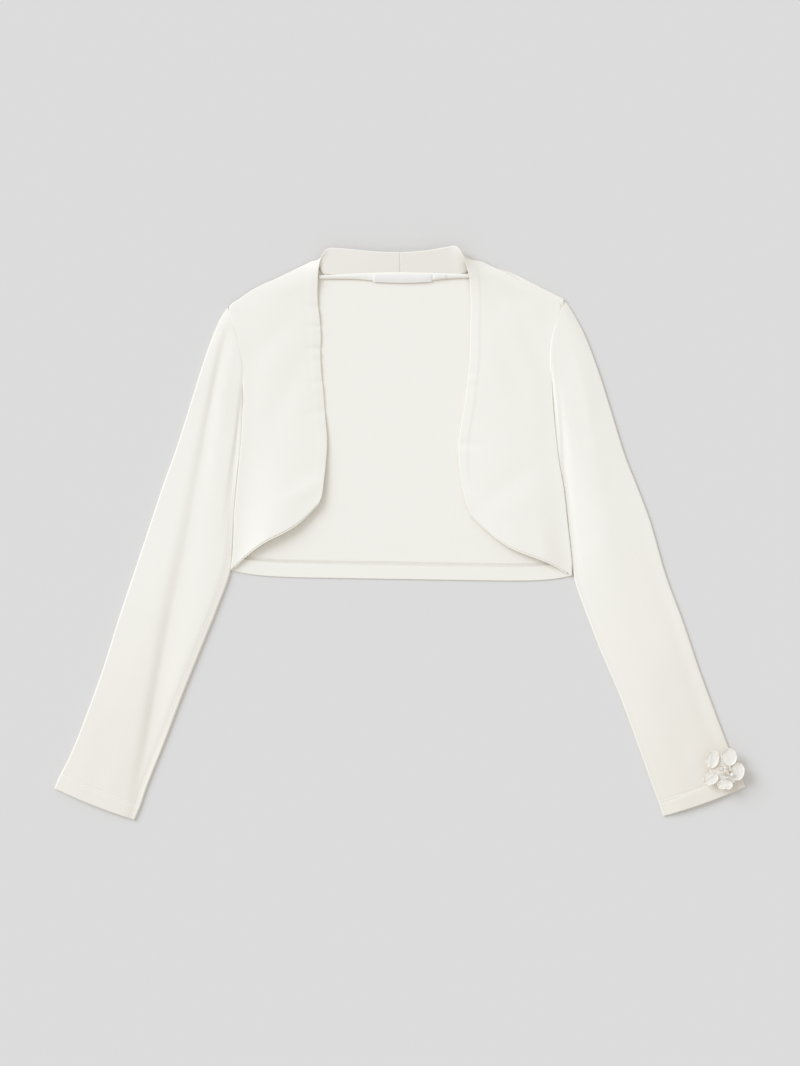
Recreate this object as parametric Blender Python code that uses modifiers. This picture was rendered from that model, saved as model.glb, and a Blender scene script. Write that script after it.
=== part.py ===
"""A child's open bolero jacket in fine cotton jersey, laid flat on its back, arms spread down.

Every sheet of cloth starts as a flat grid. A function puts each of its points in place from the
tables below, and the grid is then given the thickness of the cloth. Left and right are the
wearer's, so the right front lies on the -X side. +Y runs up the body and +Z points out of the
surface that the jacket lies on. The tables are in millimetres and read smoothly between rows.
"""
from collections import namedtuple
from math import cos, pi, radians, sin, sqrt

import bmesh
import bpy
import numpy as np

MM = 0.001

# Cloth and seams
WALL = 1.2
TRIM_WALL = 0.8
LABEL_WALL = 0.5
SEAM_GAP = 0.3
LYING = WALL / 2                    # middle of a cloth that lies on the surface
MIDDLE_X = 0.045                    # middle of the laid jacket, in the tables' own frame
MIDDLE_Y = 0.114

# Each front and its half of the collar, from the hem to the centre back. The seam side runs up
# the side seam, the armhole, the shoulder and the back neck. The edge side is the free edge.
FrontRow = namedtuple("FrontRow", "seam_x seam_y edge_x edge_y")
RIGHT_ROWS = [FrontRow(*row) for row in (
    (-169.0, -36.5, -80.7, 31.0),
    (-167.4, -24.0, -78.0, 39.0),
    (-166.2, -2.0, -76.2, 53.0),
    (-165.2, 23.0, -74.4, 69.0),
    (-161.4, 63.0, -73.0, 93.0),
    (-158.5, 93.0, -75.0, 118.0),
    (-157.0, 121.0, -76.7, 141.0),
    (-156.1, 140.0, -78.7, 159.0),
    (-158.5, 171.0, -79.7, 181.0),
    (-161.2, 190.0, -79.3, 196.0),
    (-164.3, 203.0, -80.1, 211.0),
    (-171.0, 225.0, -82.0, 227.0),
    (-160.0, 235.0, -82.6, 236.0),
    (-144.0, 245.6, -82.7, 244.0),
    (-123.5, 255.0, -82.3, 252.0),
    (-106.0, 263.5, -82.0, 259.0),
    (-94.5, 269.0, -81.4, 266.0),
    (-86.5, 272.2, -79.9, 273.0),
    (-81.5, 266.5, -77.1, 279.4),
    (-76.5, 259.0, -71.5, 284.4),
    (-67.0, 256.8, -62.0, 284.8),
    (-48.0, 257.5, -46.0, 283.4),
    (-24.0, 259.0, -23.0, 281.3),
    (-0.2, 259.6, -0.2, 280.6),
)]
LEFT_ROWS = [FrontRow(*row) for row in (
    (171.4, -42.0, 70.0, 19.0),
    (171.5, -30.0, 66.5, 30.0),
    (169.8, -12.6, 63.5, 42.0),
    (167.0, 12.0, 60.3, 59.0),
    (163.5, 44.0, 58.7, 81.0),
    (158.6, 72.0, 60.5, 104.0),
    (155.0, 103.0, 64.0, 124.0),
    (152.8, 128.0, 67.0, 148.0),
    (151.7, 150.0, 69.0, 166.0),
    (151.3, 171.0, 70.0, 183.0),
    (151.7, 191.0, 70.2, 200.0),
    (154.3, 209.0, 70.7, 216.0),
    (160.0, 228.0, 71.0, 230.0),
    (145.0, 238.0, 70.6, 242.0),
    (127.0, 247.7, 69.8, 252.0),
    (111.0, 258.0, 68.6, 259.0),
    (94.0, 266.0, 66.5, 266.5),
    (80.5, 272.0, 64.3, 273.0),
    (71.5, 268.5, 61.8, 279.3),
    (68.5, 262.5, 58.5, 284.6),
    (62.0, 258.2, 54.0, 286.9),
    (52.0, 258.0, 46.0, 285.5),
    (25.0, 258.7, 24.0, 282.1),
    (0.2, 259.4, 0.2, 280.6),
)]

# How high each front lies at some of those rows: at its seam, at its free edge and what the
# middle adds. It rises from the seam within the roll, or evenly as straight nears 1, and bows
# out where it turns the neck corner to stand up as the collar.
LiftRow = namedtuple("LiftRow", "row seam edge crown roll straight bow")
RIGHT_LIFT = [LiftRow(*row) for row in (
    (0, 2.1, 8.6, 1.4, 16, 0.0, 0.0),
    (2, 2.1, 7.6, 1.4, 12, 0.0, 0.0),
    (5, 2.1, 7.2, 1.4, 10, 0.0, 0.0),
    (7, 2.3, 7.2, 1.4, 10, 0.0, 0.0),
    (8, 5.4, 7.2, 1.4, 10, 0.0, 0.0),
    (10, 6.0, 7.4, 1.4, 10, 0.0, 0.0),
    (11, 2.3, 7.8, 1.2, 10, 0.0, 0.0),
    (12, 2.1, 8.4, 1.0, 10, 0.0, 0.0),
    (14, 2.1, 10.4, 0.4, 10, 0.1, 0.0),
    (16, 2.1, 13.0, 0.0, 10, 0.6, 0.0),
    (17, 2.2, 14.2, 0.0, 10, 0.9, 0.0),
    (18, 2.4, 15.2, 0.0, 10, 1.0, 0.0),
    (19, 2.8, 15.6, 0.0, 10, 1.0, 0.0),
    (21, 3.0, 14.6, 0.0, 10, 1.0, 0.0),
    (23, 3.0, 14.0, 0.0, 10, 1.0, 0.0),
)]
LEFT_LIFT = [LiftRow(*row) for row in (
    (0, 2.1, 8.0, 1.4, 16, 0.0, 0.0),
    (2, 2.1, 7.4, 1.4, 12, 0.0, 0.0),
    (5, 2.1, 7.0, 1.4, 10, 0.0, 0.0),
    (8, 2.3, 7.0, 1.4, 10, 0.0, 0.0),
    (9, 5.4, 7.0, 1.4, 10, 0.0, 0.0),
    (11, 6.0, 7.4, 1.4, 10, 0.0, 0.0),
    (12, 4.4, 7.8, 1.2, 10, 0.0, 0.0),
    (13, 4.4, 8.4, 1.0, 10, 0.0, 0.0),
    (14, 4.2, 10.0, 0.6, 10, 0.1, 0.0),
    (15, 3.4, 11.6, 0.2, 10, 0.4, 0.0),
    (16, 2.2, 13.0, 0.0, 10, 0.6, 0.0),
    (17, 2.2, 14.2, 0.0, 10, 0.9, 0.0),
    (18, 2.4, 15.2, 0.0, 10, 1.0, 0.0),
    (19, 2.8, 15.6, 0.0, 10, 1.0, 0.0),
    (21, 3.0, 14.8, 0.0, 10, 1.0, 0.0),
    (23, 3.0, 14.0, 0.0, 10, 1.0, 0.0),
)]

# The curved front hem leaves the straight line from the side seam to the corner by this much.
HemBow = namedtuple("HemBow", "share drop")
RIGHT_HEM = [HemBow(*row) for row in ((0, 0), (0.28, -3.4), (0.5, 0), (0.8, 4.4), (1, 0))]
LEFT_HEM = [HemBow(*row) for row in ((0, 0), (0.25, 0.8), (0.5, 6.5), (0.75, 7.5), (1, 0))]
HEM_FADE = 5.0                      # rows over which that bow dies out up the front

# The facing lies under the front along its hem and its free edge, and lines the whole collar.
FacingRow = namedtuple("FacingRow", "row start gap")
FACING_ROWS = [FacingRow(*row) for row in (
    (0, 0.04, 0.3), (1, 0.10, 0.3), (2, 0.34, 0.3), (3, 0.56, 0.3), (4, 0.64, 0.3),
    (14, 0.62, 0.3), (16, 0.40, 0.4), (18, 0.14, 0.6), (20, 0.10, 0.4), (23, 0.10, 0.3),
)]
FACING_PEEP = 0.12                  # rows by which the facing shows past the curved hem

# The top of the back panel: shoulder, neck and shoulder, and how far it folds over the top.
TopRow = namedtuple("TopRow", "x y wrap")
BACK_TOP = [TopRow(*row) for row in (
    (-171.0, 225.0, 0), (-157.0, 237.0, 0), (-144.0, 245.0, 0), (-123.5, 254.6, 0),
    (-106.0, 263.0, 0), (-94.0, 268.4, 0), (-86.0, 270.6, 0), (-75.0, 258.0, 0),
    (-48.0, 258.2, 0), (-24.0, 259.4, 0), (0.0, 259.9, 0), (25.0, 259.2, 0), (52.0, 258.2, 0),
    (66.0, 259.4, 0), (74.0, 269.6, 0), (82.0, 270.6, 0), (94.0, 266.4, 0), (111.0, 260.6, 1.4),
    (122.0, 255.4, 2.7), (133.0, 250.0, 3.8), (145.0, 243.8, 4.4), (155.0, 238.8, 4.8),
    (162.3, 235.2, 5.0),
)]
BACK_RIGHT_END = 11                 # the row of the right front where its armhole ends
BACK_LEFT_END = 12                  # the same row of the left front
BACK_HEM_DROP = 6.5                 # the hem hangs below its own corners
BACK_RISE = 3                       # power by which the top curve dies out down the back
BACK_FLAT_END = 0.97                # beyond this share of its length the back nears its top edge
FOLD_RADIUS = 1.75                  # of the fold over the left shoulder

# Each sleeve is a tube laid flat: chords from its outer fold to its underarm seam, and how high
# its upper layer lies. The first chord is the armhole and the last one is the cuff.
SleeveRow = namedtuple("SleeveRow", "outer_x outer_y inner_x inner_y height")
SLEEVE_RIGHT = [SleeveRow(*row) for row in (
    (-173.0, 225.5, -157.6, 139.0, 6.2),
    (-182.0, 210.0, -158.5, 119.0, 7.2),
    (-194.0, 179.0, -160.6, 86.0, 7.6),
    (-207.0, 138.0, -163.6, 58.0, 7.8),
    (-221.0, 93.0, -166.8, 21.0, 8.0),
    (-237.0, 48.0, -168.4, -15.0, 8.0),
    (-252.0, 3.0, -170.8, -38.0, 8.0),
    (-267.0, -42.0, -181.5, -71.0, 7.8),
    (-282.0, -87.0, -199.5, -116.0, 7.8),
    (-296.0, -132.0, -217.2, -160.0, 7.7),
    (-312.0, -177.0, -235.0, -207.0, 7.6),
    (-329.0, -220.0, -252.5, -251.0, 7.5),
    (-340.5, -243.0, -260.0, -273.0, 7.4),
    (-345.8, -255.2, -265.8, -286.7, 7.4),
)]
SLEEVE_LEFT = [SleeveRow(*row) for row in (
    (164.0, 233.5, 153.2, 147.0, 6.2),
    (171.0, 224.0, 154.4, 129.0, 7.2),
    (185.0, 198.0, 156.8, 101.0, 7.6),
    (199.0, 161.0, 160.6, 70.0, 7.8),
    (211.0, 123.0, 165.2, 45.0, 8.0),
    (225.0, 78.0, 168.8, 13.0, 8.0),
    (238.0, 45.0, 171.8, -15.0, 8.0),
    (251.0, 10.0, 174.8, -45.0, 8.0),
    (266.0, -42.0, 183.5, -72.0, 7.8),
    (283.0, -88.0, 200.7, -117.0, 7.8),
    (300.0, -138.0, 221.5, -166.0, 7.7),
    (316.0, -181.0, 237.3, -209.0, 7.6),
    (329.0, -215.0, 249.7, -244.0, 7.5),
    (341.0, -243.0, 260.0, -272.0, 7.4),
    (345.9, -253.6, 263.8, -283.0, 7.4),
)]
ARMHOLE_BOW = {"right": 4.3, "left": -5.7}
ARMHOLE_FADE = 3.0                  # rows over which the armhole's curve dies out down the sleeve
CUFF_BOW = 1.6
EDGE_HEIGHT = 2.6                   # height of a sleeve's fold
EDGE_ROLL = 10.0                    # width over which the upper layer rises from the fold
ARMHOLE_ROLL = 26.0                 # the same at the armhole, where the sleeve meets the front

# One long soft fold runs down each sleeve: where it lies between the folds, and its depth.
FoldRow = namedtuple("FoldRow", "row place depth")
RIGHT_FOLD = [FoldRow(*row) for row in (
    (0, 0.55, 0.0), (2, 0.45, 0.5), (4, 0.42, 0.7), (7, 0.42, 0.9), (9, 0.6, 0.9), (11, 0.75, 0.8),
    (13, 0.9, 0.4),
)]
LEFT_FOLD = [FoldRow(*row) for row in (
    (0, 0.55, 0.0), (3, 0.25, 0.5), (5, 0.25, 0.8), (8, 0.3, 0.9), (10, 0.3, 0.9), (12, 0.4, 0.8),
    (14, 0.45, 0.4),
)]
FOLD_WIDTH = 11.0
SLEEVE_SECTIONS = 22
FRONT_SECTIONS = ((0, 14, 15), (14, 20, 15), (20, 23, 4))   # from a row, to a row, in steps

# The neck tape's top edge and foot along the back neck.
TapeRow = namedtuple("TapeRow", "x top_y foot_y")
TAPE_ROWS = [TapeRow(*row) for row in (
    (-76.0, 257.2, 254.4), (-62.0, 257.6, 254.6), (-43.0, 258.9, 254.3), (-24.0, 259.7, 252.6),
    (2.0, 260.2, 252.0), (28.0, 259.7, 252.6), (47.0, 258.9, 254.8), (65.0, 258.5, 255.4),
)]
TAPE_TOP = 4.6
TAPE_CREST = 1.3
TAPE_FOOT = 2.3
LABEL_LIFT = 1.0                    # the labels lie this far out from the tape's own points
LabelRow = namedtuple("LabelRow", "name left right high low")
LABELS = [LabelRow("label", -26.5, 32.0, 0.18, 1.14), LabelRow("size_tab", 32.8, 47.0, 0.24, 0.82)]

# The flower on the left cuff
FLOWER_X = 325.2
FLOWER_Y = -237.7
FLOWER_BASE_X = 324.0
FLOWER_BASE_Y = -238.5
FLOWER_BASE_RADIUS = 14.6
FLOWER_BASE_HEIGHT = 8.8
FLOWER_BOSS_RADIUS = 4.2
FLOWER_BOSS_HEIGHT = 2.6
PETAL_HEIGHT = 10.0
PetalRow = namedtuple("PetalRow", "x y long wide turn cup notch")
PETALS = [PetalRow(*row) for row in (
    (312.0, -226.3, 17.4, 13.2, 80, 3.6, 0.0),
    (329.2, -223.6, 17.2, 16.2, 84, 4.2, 0.0),
    (339.2, -238.8, 17.4, 13.0, 92, 3.8, 0.0),
    (325.4, -252.0, 16.6, 9.8, 178, 3.0, 1.6),
    (310.8, -245.8, 15.4, 11.6, 25, 3.4, 0.0),
)]

IVORY = (0.88, 0.86, 0.80, 1.0)
SATIN = (0.90, 0.89, 0.87, 1.0)


def read(rows, t):
    """A table of rows, read smoothly at t, counted in rows."""
    last = len(rows) - 1
    i = int(min(max(t, 0), last - 1e-6))
    s = t - i
    here = np.array(rows[i], float)
    there = np.array(rows[i + 1], float)
    before = np.array(rows[i - 1], float) if i > 0 else 2 * here - there
    after = np.array(rows[i + 2], float) if i + 2 <= last else 2 * there - here
    bend = (2 * before - 5 * here + 4 * there - after) * s * s
    twist = (3 * here - before - 3 * there + after) * s ** 3
    return 0.5 * (2 * here + (there - before) * s + bend + twist)


def read_at(rows, key):
    """A table whose first column is the key, read evenly between its rows."""
    keys = [row[0] for row in rows]
    return [np.interp(key, keys, [row[i] for row in rows]) for i in range(1, len(rows[0]))]


def quarter(share):
    """The rise of a quarter circle, from 0 at its foot to 1 at its top."""
    return sqrt(1 - (1 - min(max(share, 0.0), 1.0)) ** 2)


FRONTS = {
    "right": (RIGHT_ROWS, RIGHT_LIFT, RIGHT_HEM, -1),
    "left": (LEFT_ROWS, LEFT_LIFT, LEFT_HEM, 1),
}
SLEEVES = {
    "right": (SLEEVE_RIGHT, RIGHT_FOLD),
    "left": (SLEEVE_LEFT, LEFT_FOLD),
}


def front_place(side, u, t):
    """The point of a front at share u from its seam to its free edge, on row t."""
    rows, lift, hem, out = FRONTS[side]
    seam_x, seam_y, edge_x, edge_y = read(rows, t)
    seam, edge, crown, roll, straight, bow = read_at(lift, t)
    across = np.array((edge_x - seam_x, edge_y - seam_y))
    length = np.linalg.norm(across)
    swell = sin(pi * u)
    place = np.array((seam_x, seam_y)) + across * u
    place += out * bow * swell * np.array((across[1], -across[0])) / length
    place[1] -= read_at(hem, u)[0] * max(1 - t / HEM_FADE, 0) ** 2
    rise = (1 - straight) * quarter(u * length / roll) + straight * u
    return np.array((place[0], place[1], seam + (edge + crown * swell - seam) * rise))


def front_outward(side, u, t):
    """The direction in which the outer face of a front looks at one of its points."""
    step = 0.02
    across = front_place(side, min(u + step, 1), t) - front_place(side, max(u - step, 0), t)
    along = front_place(side, u, t + step) - front_place(side, u, t - step)
    normal = np.cross(across, along) * (1 if side == "right" else -1)
    return normal / np.linalg.norm(normal)


def facing_place(side, s, t):
    """The facing: the front's own points from its start to the free edge, moved inwards."""
    start, gap = read_at(FACING_ROWS, t)
    u = start + (1 - start) * s
    return front_place(side, u, t) - front_outward(side, u, t) * (WALL + gap)


def back_plan(k, v):
    """Where the back panel lies: k counts along its top table, v goes from the hem to the top."""
    x, y, _ = read(BACK_TOP, k)
    first, last = np.array(BACK_TOP[0][:2]), np.array(BACK_TOP[-1][:2])
    share = (x - first[0]) / (last[0] - first[0])
    right = read(RIGHT_ROWS, v * BACK_RIGHT_END)[:2]
    left = read(LEFT_ROWS, v * BACK_LEFT_END)[:2]
    left += (last - np.array(LEFT_ROWS[BACK_LEFT_END][:2])) * v ** 8
    top = np.array((x, y)) - first - (last - first) * share
    place = right + (left - right) * share + top * v ** BACK_RISE
    place[1] -= BACK_HEM_DROP * (1 - abs(2 * share - 1) ** 8) * (1 - v) ** 4
    return place


def back_place(k, v):
    """The back panel. Past v = 1 it runs out to the top edge, and folds over the left shoulder."""
    if v <= BACK_FLAT_END:
        return np.array((*back_plan(k, v), LYING))
    edge = back_plan(k, 1)
    inwards = back_plan(k, BACK_FLAT_END) - edge
    reach = np.linalg.norm(inwards)
    wrap = max(read(BACK_TOP, k)[2], 0)
    radius = FOLD_RADIUS * min(wrap / 3, 1)
    flat = reach - radius
    path = (v - BACK_FLAT_END) / (1 - BACK_FLAT_END) * (flat + pi * radius + max(wrap - radius, 0))
    if path <= flat:
        inside, height = reach - path, 0.0
    elif path <= flat + pi * radius:
        angle = (path - flat) / radius
        inside, height = radius * (1 - sin(angle)), radius * (1 - cos(angle))
    else:
        inside, height = radius + path - flat - pi * radius, 2 * radius
    return np.array((*(edge + inwards / reach * inside), LYING + height))


def sleeve_place(side, q, t):
    """A sleeve: q runs round it, over the upper layer from the underarm and back below."""
    rows, fold = SLEEVES[side]
    outer_x, outer_y, inner_x, inner_y, height = read(rows, t)
    outer, inner = np.array((outer_x, outer_y)), np.array((inner_x, inner_y))
    upper = q <= 0.5
    share = (1 + cos(2 * pi * q)) / 2            # 0 at the outer fold, 1 at the underarm
    place = outer + (inner - outer) * share
    swell = sin(pi * share)
    place[0] += ARMHOLE_BOW[side] * swell * max(1 - t / ARMHOLE_FADE, 0)
    place[1] -= CUFF_BOW * swell * max(t - len(rows) + 3, 0) / 2
    width = np.linalg.norm(inner - outer)
    inside = min(share, 1 - share) * width
    if not upper:
        depth = EDGE_HEIGHT - LYING
        return np.array((*place, EDGE_HEIGHT - depth * quarter(inside / depth)))
    roll = EDGE_ROLL + (ARMHOLE_ROLL - EDGE_ROLL) * max(1 - t / ARMHOLE_FADE, 0)
    centre, depth = read_at(fold, t)
    dip = depth * np.exp(-((share - centre) * width / FOLD_WIDTH) ** 2)
    rise = quarter(inside / roll)
    return np.array((*place, EDGE_HEIGHT + (height - EDGE_HEIGHT) * rise - dip))


def tape_place(k, s):
    """The neck tape: k counts along its table, s goes from its top edge down to its foot."""
    x, top_y, foot_y = read(TAPE_ROWS, k)
    height = TAPE_TOP + (TAPE_FOOT - TAPE_TOP) * s + TAPE_CREST * sin(pi * min(s, 1))
    return np.array((x, top_y + (foot_y - top_y) * s, height))


def label_place(row, a, s):
    """A label: points of the neck tape from a to the right along it, moved out."""
    x = row.left + (row.right - row.left) * a
    k = np.interp(x, [tape.x for tape in TAPE_ROWS], range(len(TAPE_ROWS)))
    down = row.high + (row.low - row.high) * s
    step = 0.02
    slope = tape_place(k, down + step) - tape_place(k, down - step)
    normal = np.cross(slope, np.array((1.0, 0.0, 0.0)))
    normal *= np.sign(normal[2]) / np.linalg.norm(normal)
    return tape_place(k, down) + normal * LABEL_LIFT


def disc(p, q):
    """A point of the unit square (-1 to 1 each way) drawn in to the unit disc."""
    return p * sqrt(1 - q * q / 2), q * sqrt(1 - p * p / 2)


def base_place(p, q):
    """The round base of the flower, which lies on the sleeve."""
    x, y = disc(p, q)
    return np.array((FLOWER_BASE_X + x * FLOWER_BASE_RADIUS,
                     FLOWER_BASE_Y + y * FLOWER_BASE_RADIUS, FLOWER_BASE_HEIGHT))


def petal_place(row, p, q):
    """A petal: an oval that cups up to its rim, with a notch in one end where the row has one."""
    x, y = disc(p, q)
    rim = x * x + y * y
    long, wide = x * row.long / 2, y * row.wide / 2
    wide -= row.notch * max(y, 0) * np.exp(-(x / 0.35) ** 2)
    turn = radians(row.turn)
    return np.array((row.x + long * cos(turn) - wide * sin(turn),
                     row.y + long * sin(turn) + wide * cos(turn), PETAL_HEIGHT + row.cup * rim))


def cloth(name, colour, roughness):
    """A plain cloth colour with nothing metallic in it."""
    material = bpy.data.materials.new(name)
    material.use_nodes = True
    shader = material.node_tree.nodes["Principled BSDF"]
    shader.inputs["Base Color"].default_value = colour
    shader.inputs["Roughness"].default_value = roughness
    shader.inputs["Metallic"].default_value = 0.0
    return material


def sheet(name, columns, rows, place, wall, material):
    """A sheet of cloth: a flat grid whose every point is put in place, then made thick."""
    bm = bmesh.new()
    bmesh.ops.create_grid(bm, x_segments=len(columns) - 1, y_segments=len(rows) - 1, size=1)
    for vert in bm.verts:
        column = columns[round((vert.co.x + 1) / 2 * (len(columns) - 1))]
        row = rows[round((vert.co.y + 1) / 2 * (len(rows) - 1))]
        x, y, z = place(column, row)
        vert.co = ((x - MIDDLE_X) * MM, (y - MIDDLE_Y) * MM, z * MM)
    bmesh.ops.remove_doubles(bm, verts=bm.verts, dist=MM / 1000)
    mesh = bpy.data.meshes.new(name)
    bm.to_mesh(mesh)
    bm.free()
    mesh.shade_smooth()
    mesh.materials.append(material)
    piece = bpy.data.objects.new(name, mesh)
    garment.objects.link(piece)
    thick = piece.modifiers.new("cloth", "SOLIDIFY")
    thick.thickness = wall * MM
    thick.offset = 0
    return piece


def steps(count, power=1.0):
    """Shares from 0 to 1 in count steps, closer together near 0 for a power above 1."""
    return [(i / count) ** power for i in range(count + 1)]


def add_body(material):
    """The back panel, the two fronts and their facings."""
    columns = list(range(len(BACK_TOP)))
    rows = [BACK_FLAT_END * s for s in steps(12)]
    rows += [BACK_FLAT_END + (1 - BACK_FLAT_END) * s for s in steps(5)[1:]]
    sheet("back", columns, rows, back_place, WALL, material)
    for side in FRONTS:
        rows = [0.0]
        for low, high, count in FRONT_SECTIONS:
            rows += [low + (high - low) * s for s in steps(count)[1:]]
        sheet(f"front_{side}", steps(11, 1.6), rows,
              lambda u, t: front_place(side, u, t), WALL, material)
        rows[0] = -FACING_PEEP
        sheet(f"facing_{side}", steps(5), rows,
              lambda s, t: facing_place(side, s, t), WALL, material)


def add_sleeves(material):
    """The two sleeves, each a grid rolled round and welded along the underarm."""
    above = [i / 28 for i in range(15)]
    below = [0.5 + i / 20 for i in range(1, 11)]
    for side in SLEEVES:
        last = len(SLEEVES[side][0]) - 1
        sheet(f"sleeve_{side}", above + below, [last * s for s in steps(SLEEVE_SECTIONS)],
              lambda q, t: sleeve_place(side, q, t), WALL, material)


def add_neck(jersey, satin):
    """The neck tape, the label and the size tab."""
    sheet("neck_tape", [s * (len(TAPE_ROWS) - 1) for s in steps(16)], steps(3), tape_place,
          TRIM_WALL, jersey)
    for row in LABELS:
        sheet(row.name, steps(8), steps(4), lambda a, s: label_place(row, a, s), LABEL_WALL, satin)


def add_flower(satin):
    """The flower: a round base, five cupped petals and the boss that carries its beads."""
    square = [2 * s - 1 for s in steps(6)]
    sheet("flower_base", square, square, base_place, TRIM_WALL, satin)
    for number, row in enumerate(PETALS, 1):
        sheet(f"flower_petal_{number}", square, square,
              lambda p, q: petal_place(row, p, q), TRIM_WALL, satin)
    bm = bmesh.new()
    bmesh.ops.create_uvsphere(bm, u_segments=12, v_segments=8, radius=1)
    floor = FLOWER_BASE_HEIGHT + TRIM_WALL / 2 + SEAM_GAP
    bmesh.ops.bisect_plane(bm, geom=bm.verts[:] + bm.edges[:] + bm.faces[:], plane_co=(0, 0, 0),
                           plane_no=(0, 0, -1), clear_outer=True)
    bmesh.ops.holes_fill(bm, edges=[edge for edge in bm.edges if edge.is_boundary])
    for vert in bm.verts:
        vert.co = ((FLOWER_X - MIDDLE_X + vert.co.x * FLOWER_BOSS_RADIUS) * MM,
                   (FLOWER_Y - MIDDLE_Y + vert.co.y * FLOWER_BOSS_RADIUS) * MM,
                   (floor + vert.co.z * FLOWER_BOSS_HEIGHT) * MM)
    mesh = bpy.data.meshes.new("flower_centre")
    bm.to_mesh(mesh)
    bm.free()
    mesh.materials.append(satin)
    garment.objects.link(bpy.data.objects.new("flower_centre", mesh))


for old in list(bpy.data.objects):
    bpy.data.objects.remove(old)
garment = bpy.data.collections.new("bolero_jacket")
bpy.context.scene.collection.children.link(garment)
ivory = cloth("ivory_jersey", IVORY, 0.85)
white = cloth("white_satin", SATIN, 0.45)
add_body(ivory)
add_sleeves(ivory)
add_neck(ivory, white)
add_flower(white)
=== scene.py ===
# %% [markdown]
# # A bolero jacket, laid flat
# A girl's open bolero jacket in fine ivory jersey: a back, two fronts cut in one with a standing
# collar, two long sleeves, a neck tape with two bare labels, and a satin flower on one cuff. It
# lies on its back with its arms spread down. The frame already holds every panel as a plain
# solid of the right size. This file gives each of them its cloth, its seams and its finish.

# %% Load the frame
from collections import namedtuple
from math import cos, pi, radians, sin

import bpy
import numpy as np
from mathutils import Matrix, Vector, noise

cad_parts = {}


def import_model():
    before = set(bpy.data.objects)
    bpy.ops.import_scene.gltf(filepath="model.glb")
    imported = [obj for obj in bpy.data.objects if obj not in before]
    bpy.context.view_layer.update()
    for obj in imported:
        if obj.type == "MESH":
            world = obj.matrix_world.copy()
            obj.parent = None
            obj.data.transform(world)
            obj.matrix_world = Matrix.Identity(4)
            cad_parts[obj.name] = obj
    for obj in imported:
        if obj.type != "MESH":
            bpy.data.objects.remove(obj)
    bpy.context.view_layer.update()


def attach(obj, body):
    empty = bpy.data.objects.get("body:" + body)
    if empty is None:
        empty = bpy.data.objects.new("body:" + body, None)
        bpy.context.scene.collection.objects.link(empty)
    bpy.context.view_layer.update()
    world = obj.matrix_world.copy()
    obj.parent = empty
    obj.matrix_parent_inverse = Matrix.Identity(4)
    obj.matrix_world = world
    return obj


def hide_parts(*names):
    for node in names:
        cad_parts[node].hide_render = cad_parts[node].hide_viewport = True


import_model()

MM = 0.001
ROOT = "root"

# %% [markdown]
# ## The camera
# The jacket was photographed from straight above, with a long lens, so that its edges show
# almost no perspective. A real lens far away does that too, and it also works from the side. The
# picture is taller than it is wide, and its height covers a little more than a metre.

# %% Camera
PICTURE_HEIGHT = 1.066              # metres that the picture's height covers at the cloth
CLOTH_TOP = 0.007
LENS_MM = 110.0
FILM_MM = 36.0
CLIP_END = 50                       # the camera sees this many metres far
PICTURE_MIDDLE = (-0.0001, -0.0001)


def add_camera():
    """A long lens that looks straight down, with the jacket's collar at the top."""
    data = bpy.data.cameras.new("camera")
    data.lens = LENS_MM
    data.sensor_width = FILM_MM
    data.clip_end = CLIP_END
    camera = bpy.data.objects.new("camera", data)
    bpy.context.scene.collection.objects.link(camera)
    distance = LENS_MM * PICTURE_HEIGHT / FILM_MM
    camera.location = (*PICTURE_MIDDLE, CLOTH_TOP + distance)
    bpy.context.scene.camera = camera
    return distance


print("camera looks down from", round(add_camera(), 3), "m")

# %% [markdown]
# ## The light
# The shadows beside the cuffs are soft and pale, fall down and to the right, and the floor is
# the same grey all over. A lamp close by would leave a bright patch on the floor. A sun with a
# wide disc is as soft and lights the floor evenly, and a white world fills in the rest.

# %% Light and floor
KEY_SHARE = 0.29                    # the key's share of the light on the floor
KEY_FROM_NORTH = 54.0               # degrees from the top of the picture towards its left
KEY_HEIGHT = 30.0                   # degrees above the floor
KEY_WIDTH = 34.0                    # degrees across the sun's disc
LIGHT_TINT = (0.95, 1.0, 1.08)      # the light as a whole is a little cool
KEY_TINT = (0.937, 1.0, 1.111)      # the key more so, and the fill less
FLOOR_GREY = 0.716
FLOOR_SIZE = 14.0


def add_light():
    """One wide sun from the upper left, and a white world."""
    turn, height = radians(KEY_FROM_NORTH), radians(KEY_HEIGHT)
    lamp = bpy.data.lights.new("key", "SUN")
    lamp.energy = KEY_SHARE * pi / sin(height)
    lamp.color = [key * light for key, light in zip(KEY_TINT, LIGHT_TINT)]
    lamp.angle = radians(KEY_WIDTH)
    key = bpy.data.objects.new("key", lamp)
    towards = Vector((-sin(turn) * cos(height), cos(turn) * cos(height), sin(height)))
    key.rotation_euler = towards.to_track_quat("Z", "Y").to_euler()
    bpy.context.scene.collection.objects.link(key)
    world = bpy.data.worlds.new("studio")
    world.use_nodes = True
    sky = world.node_tree.nodes["Background"]
    fill = [(1 - KEY_SHARE * key) * light for key, light in zip(KEY_TINT, LIGHT_TINT)]
    sky.inputs["Color"].default_value = (*fill, 1)
    sky.inputs["Strength"].default_value = 1.0
    bpy.context.scene.world = world


def start_from(name, add, **settings):
    """Add a primitive by its operator, with nothing else selected, and name it."""
    bpy.ops.object.select_all(action="DESELECT")
    add(**settings)
    piece = bpy.context.object
    piece.name = name
    return piece


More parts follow.
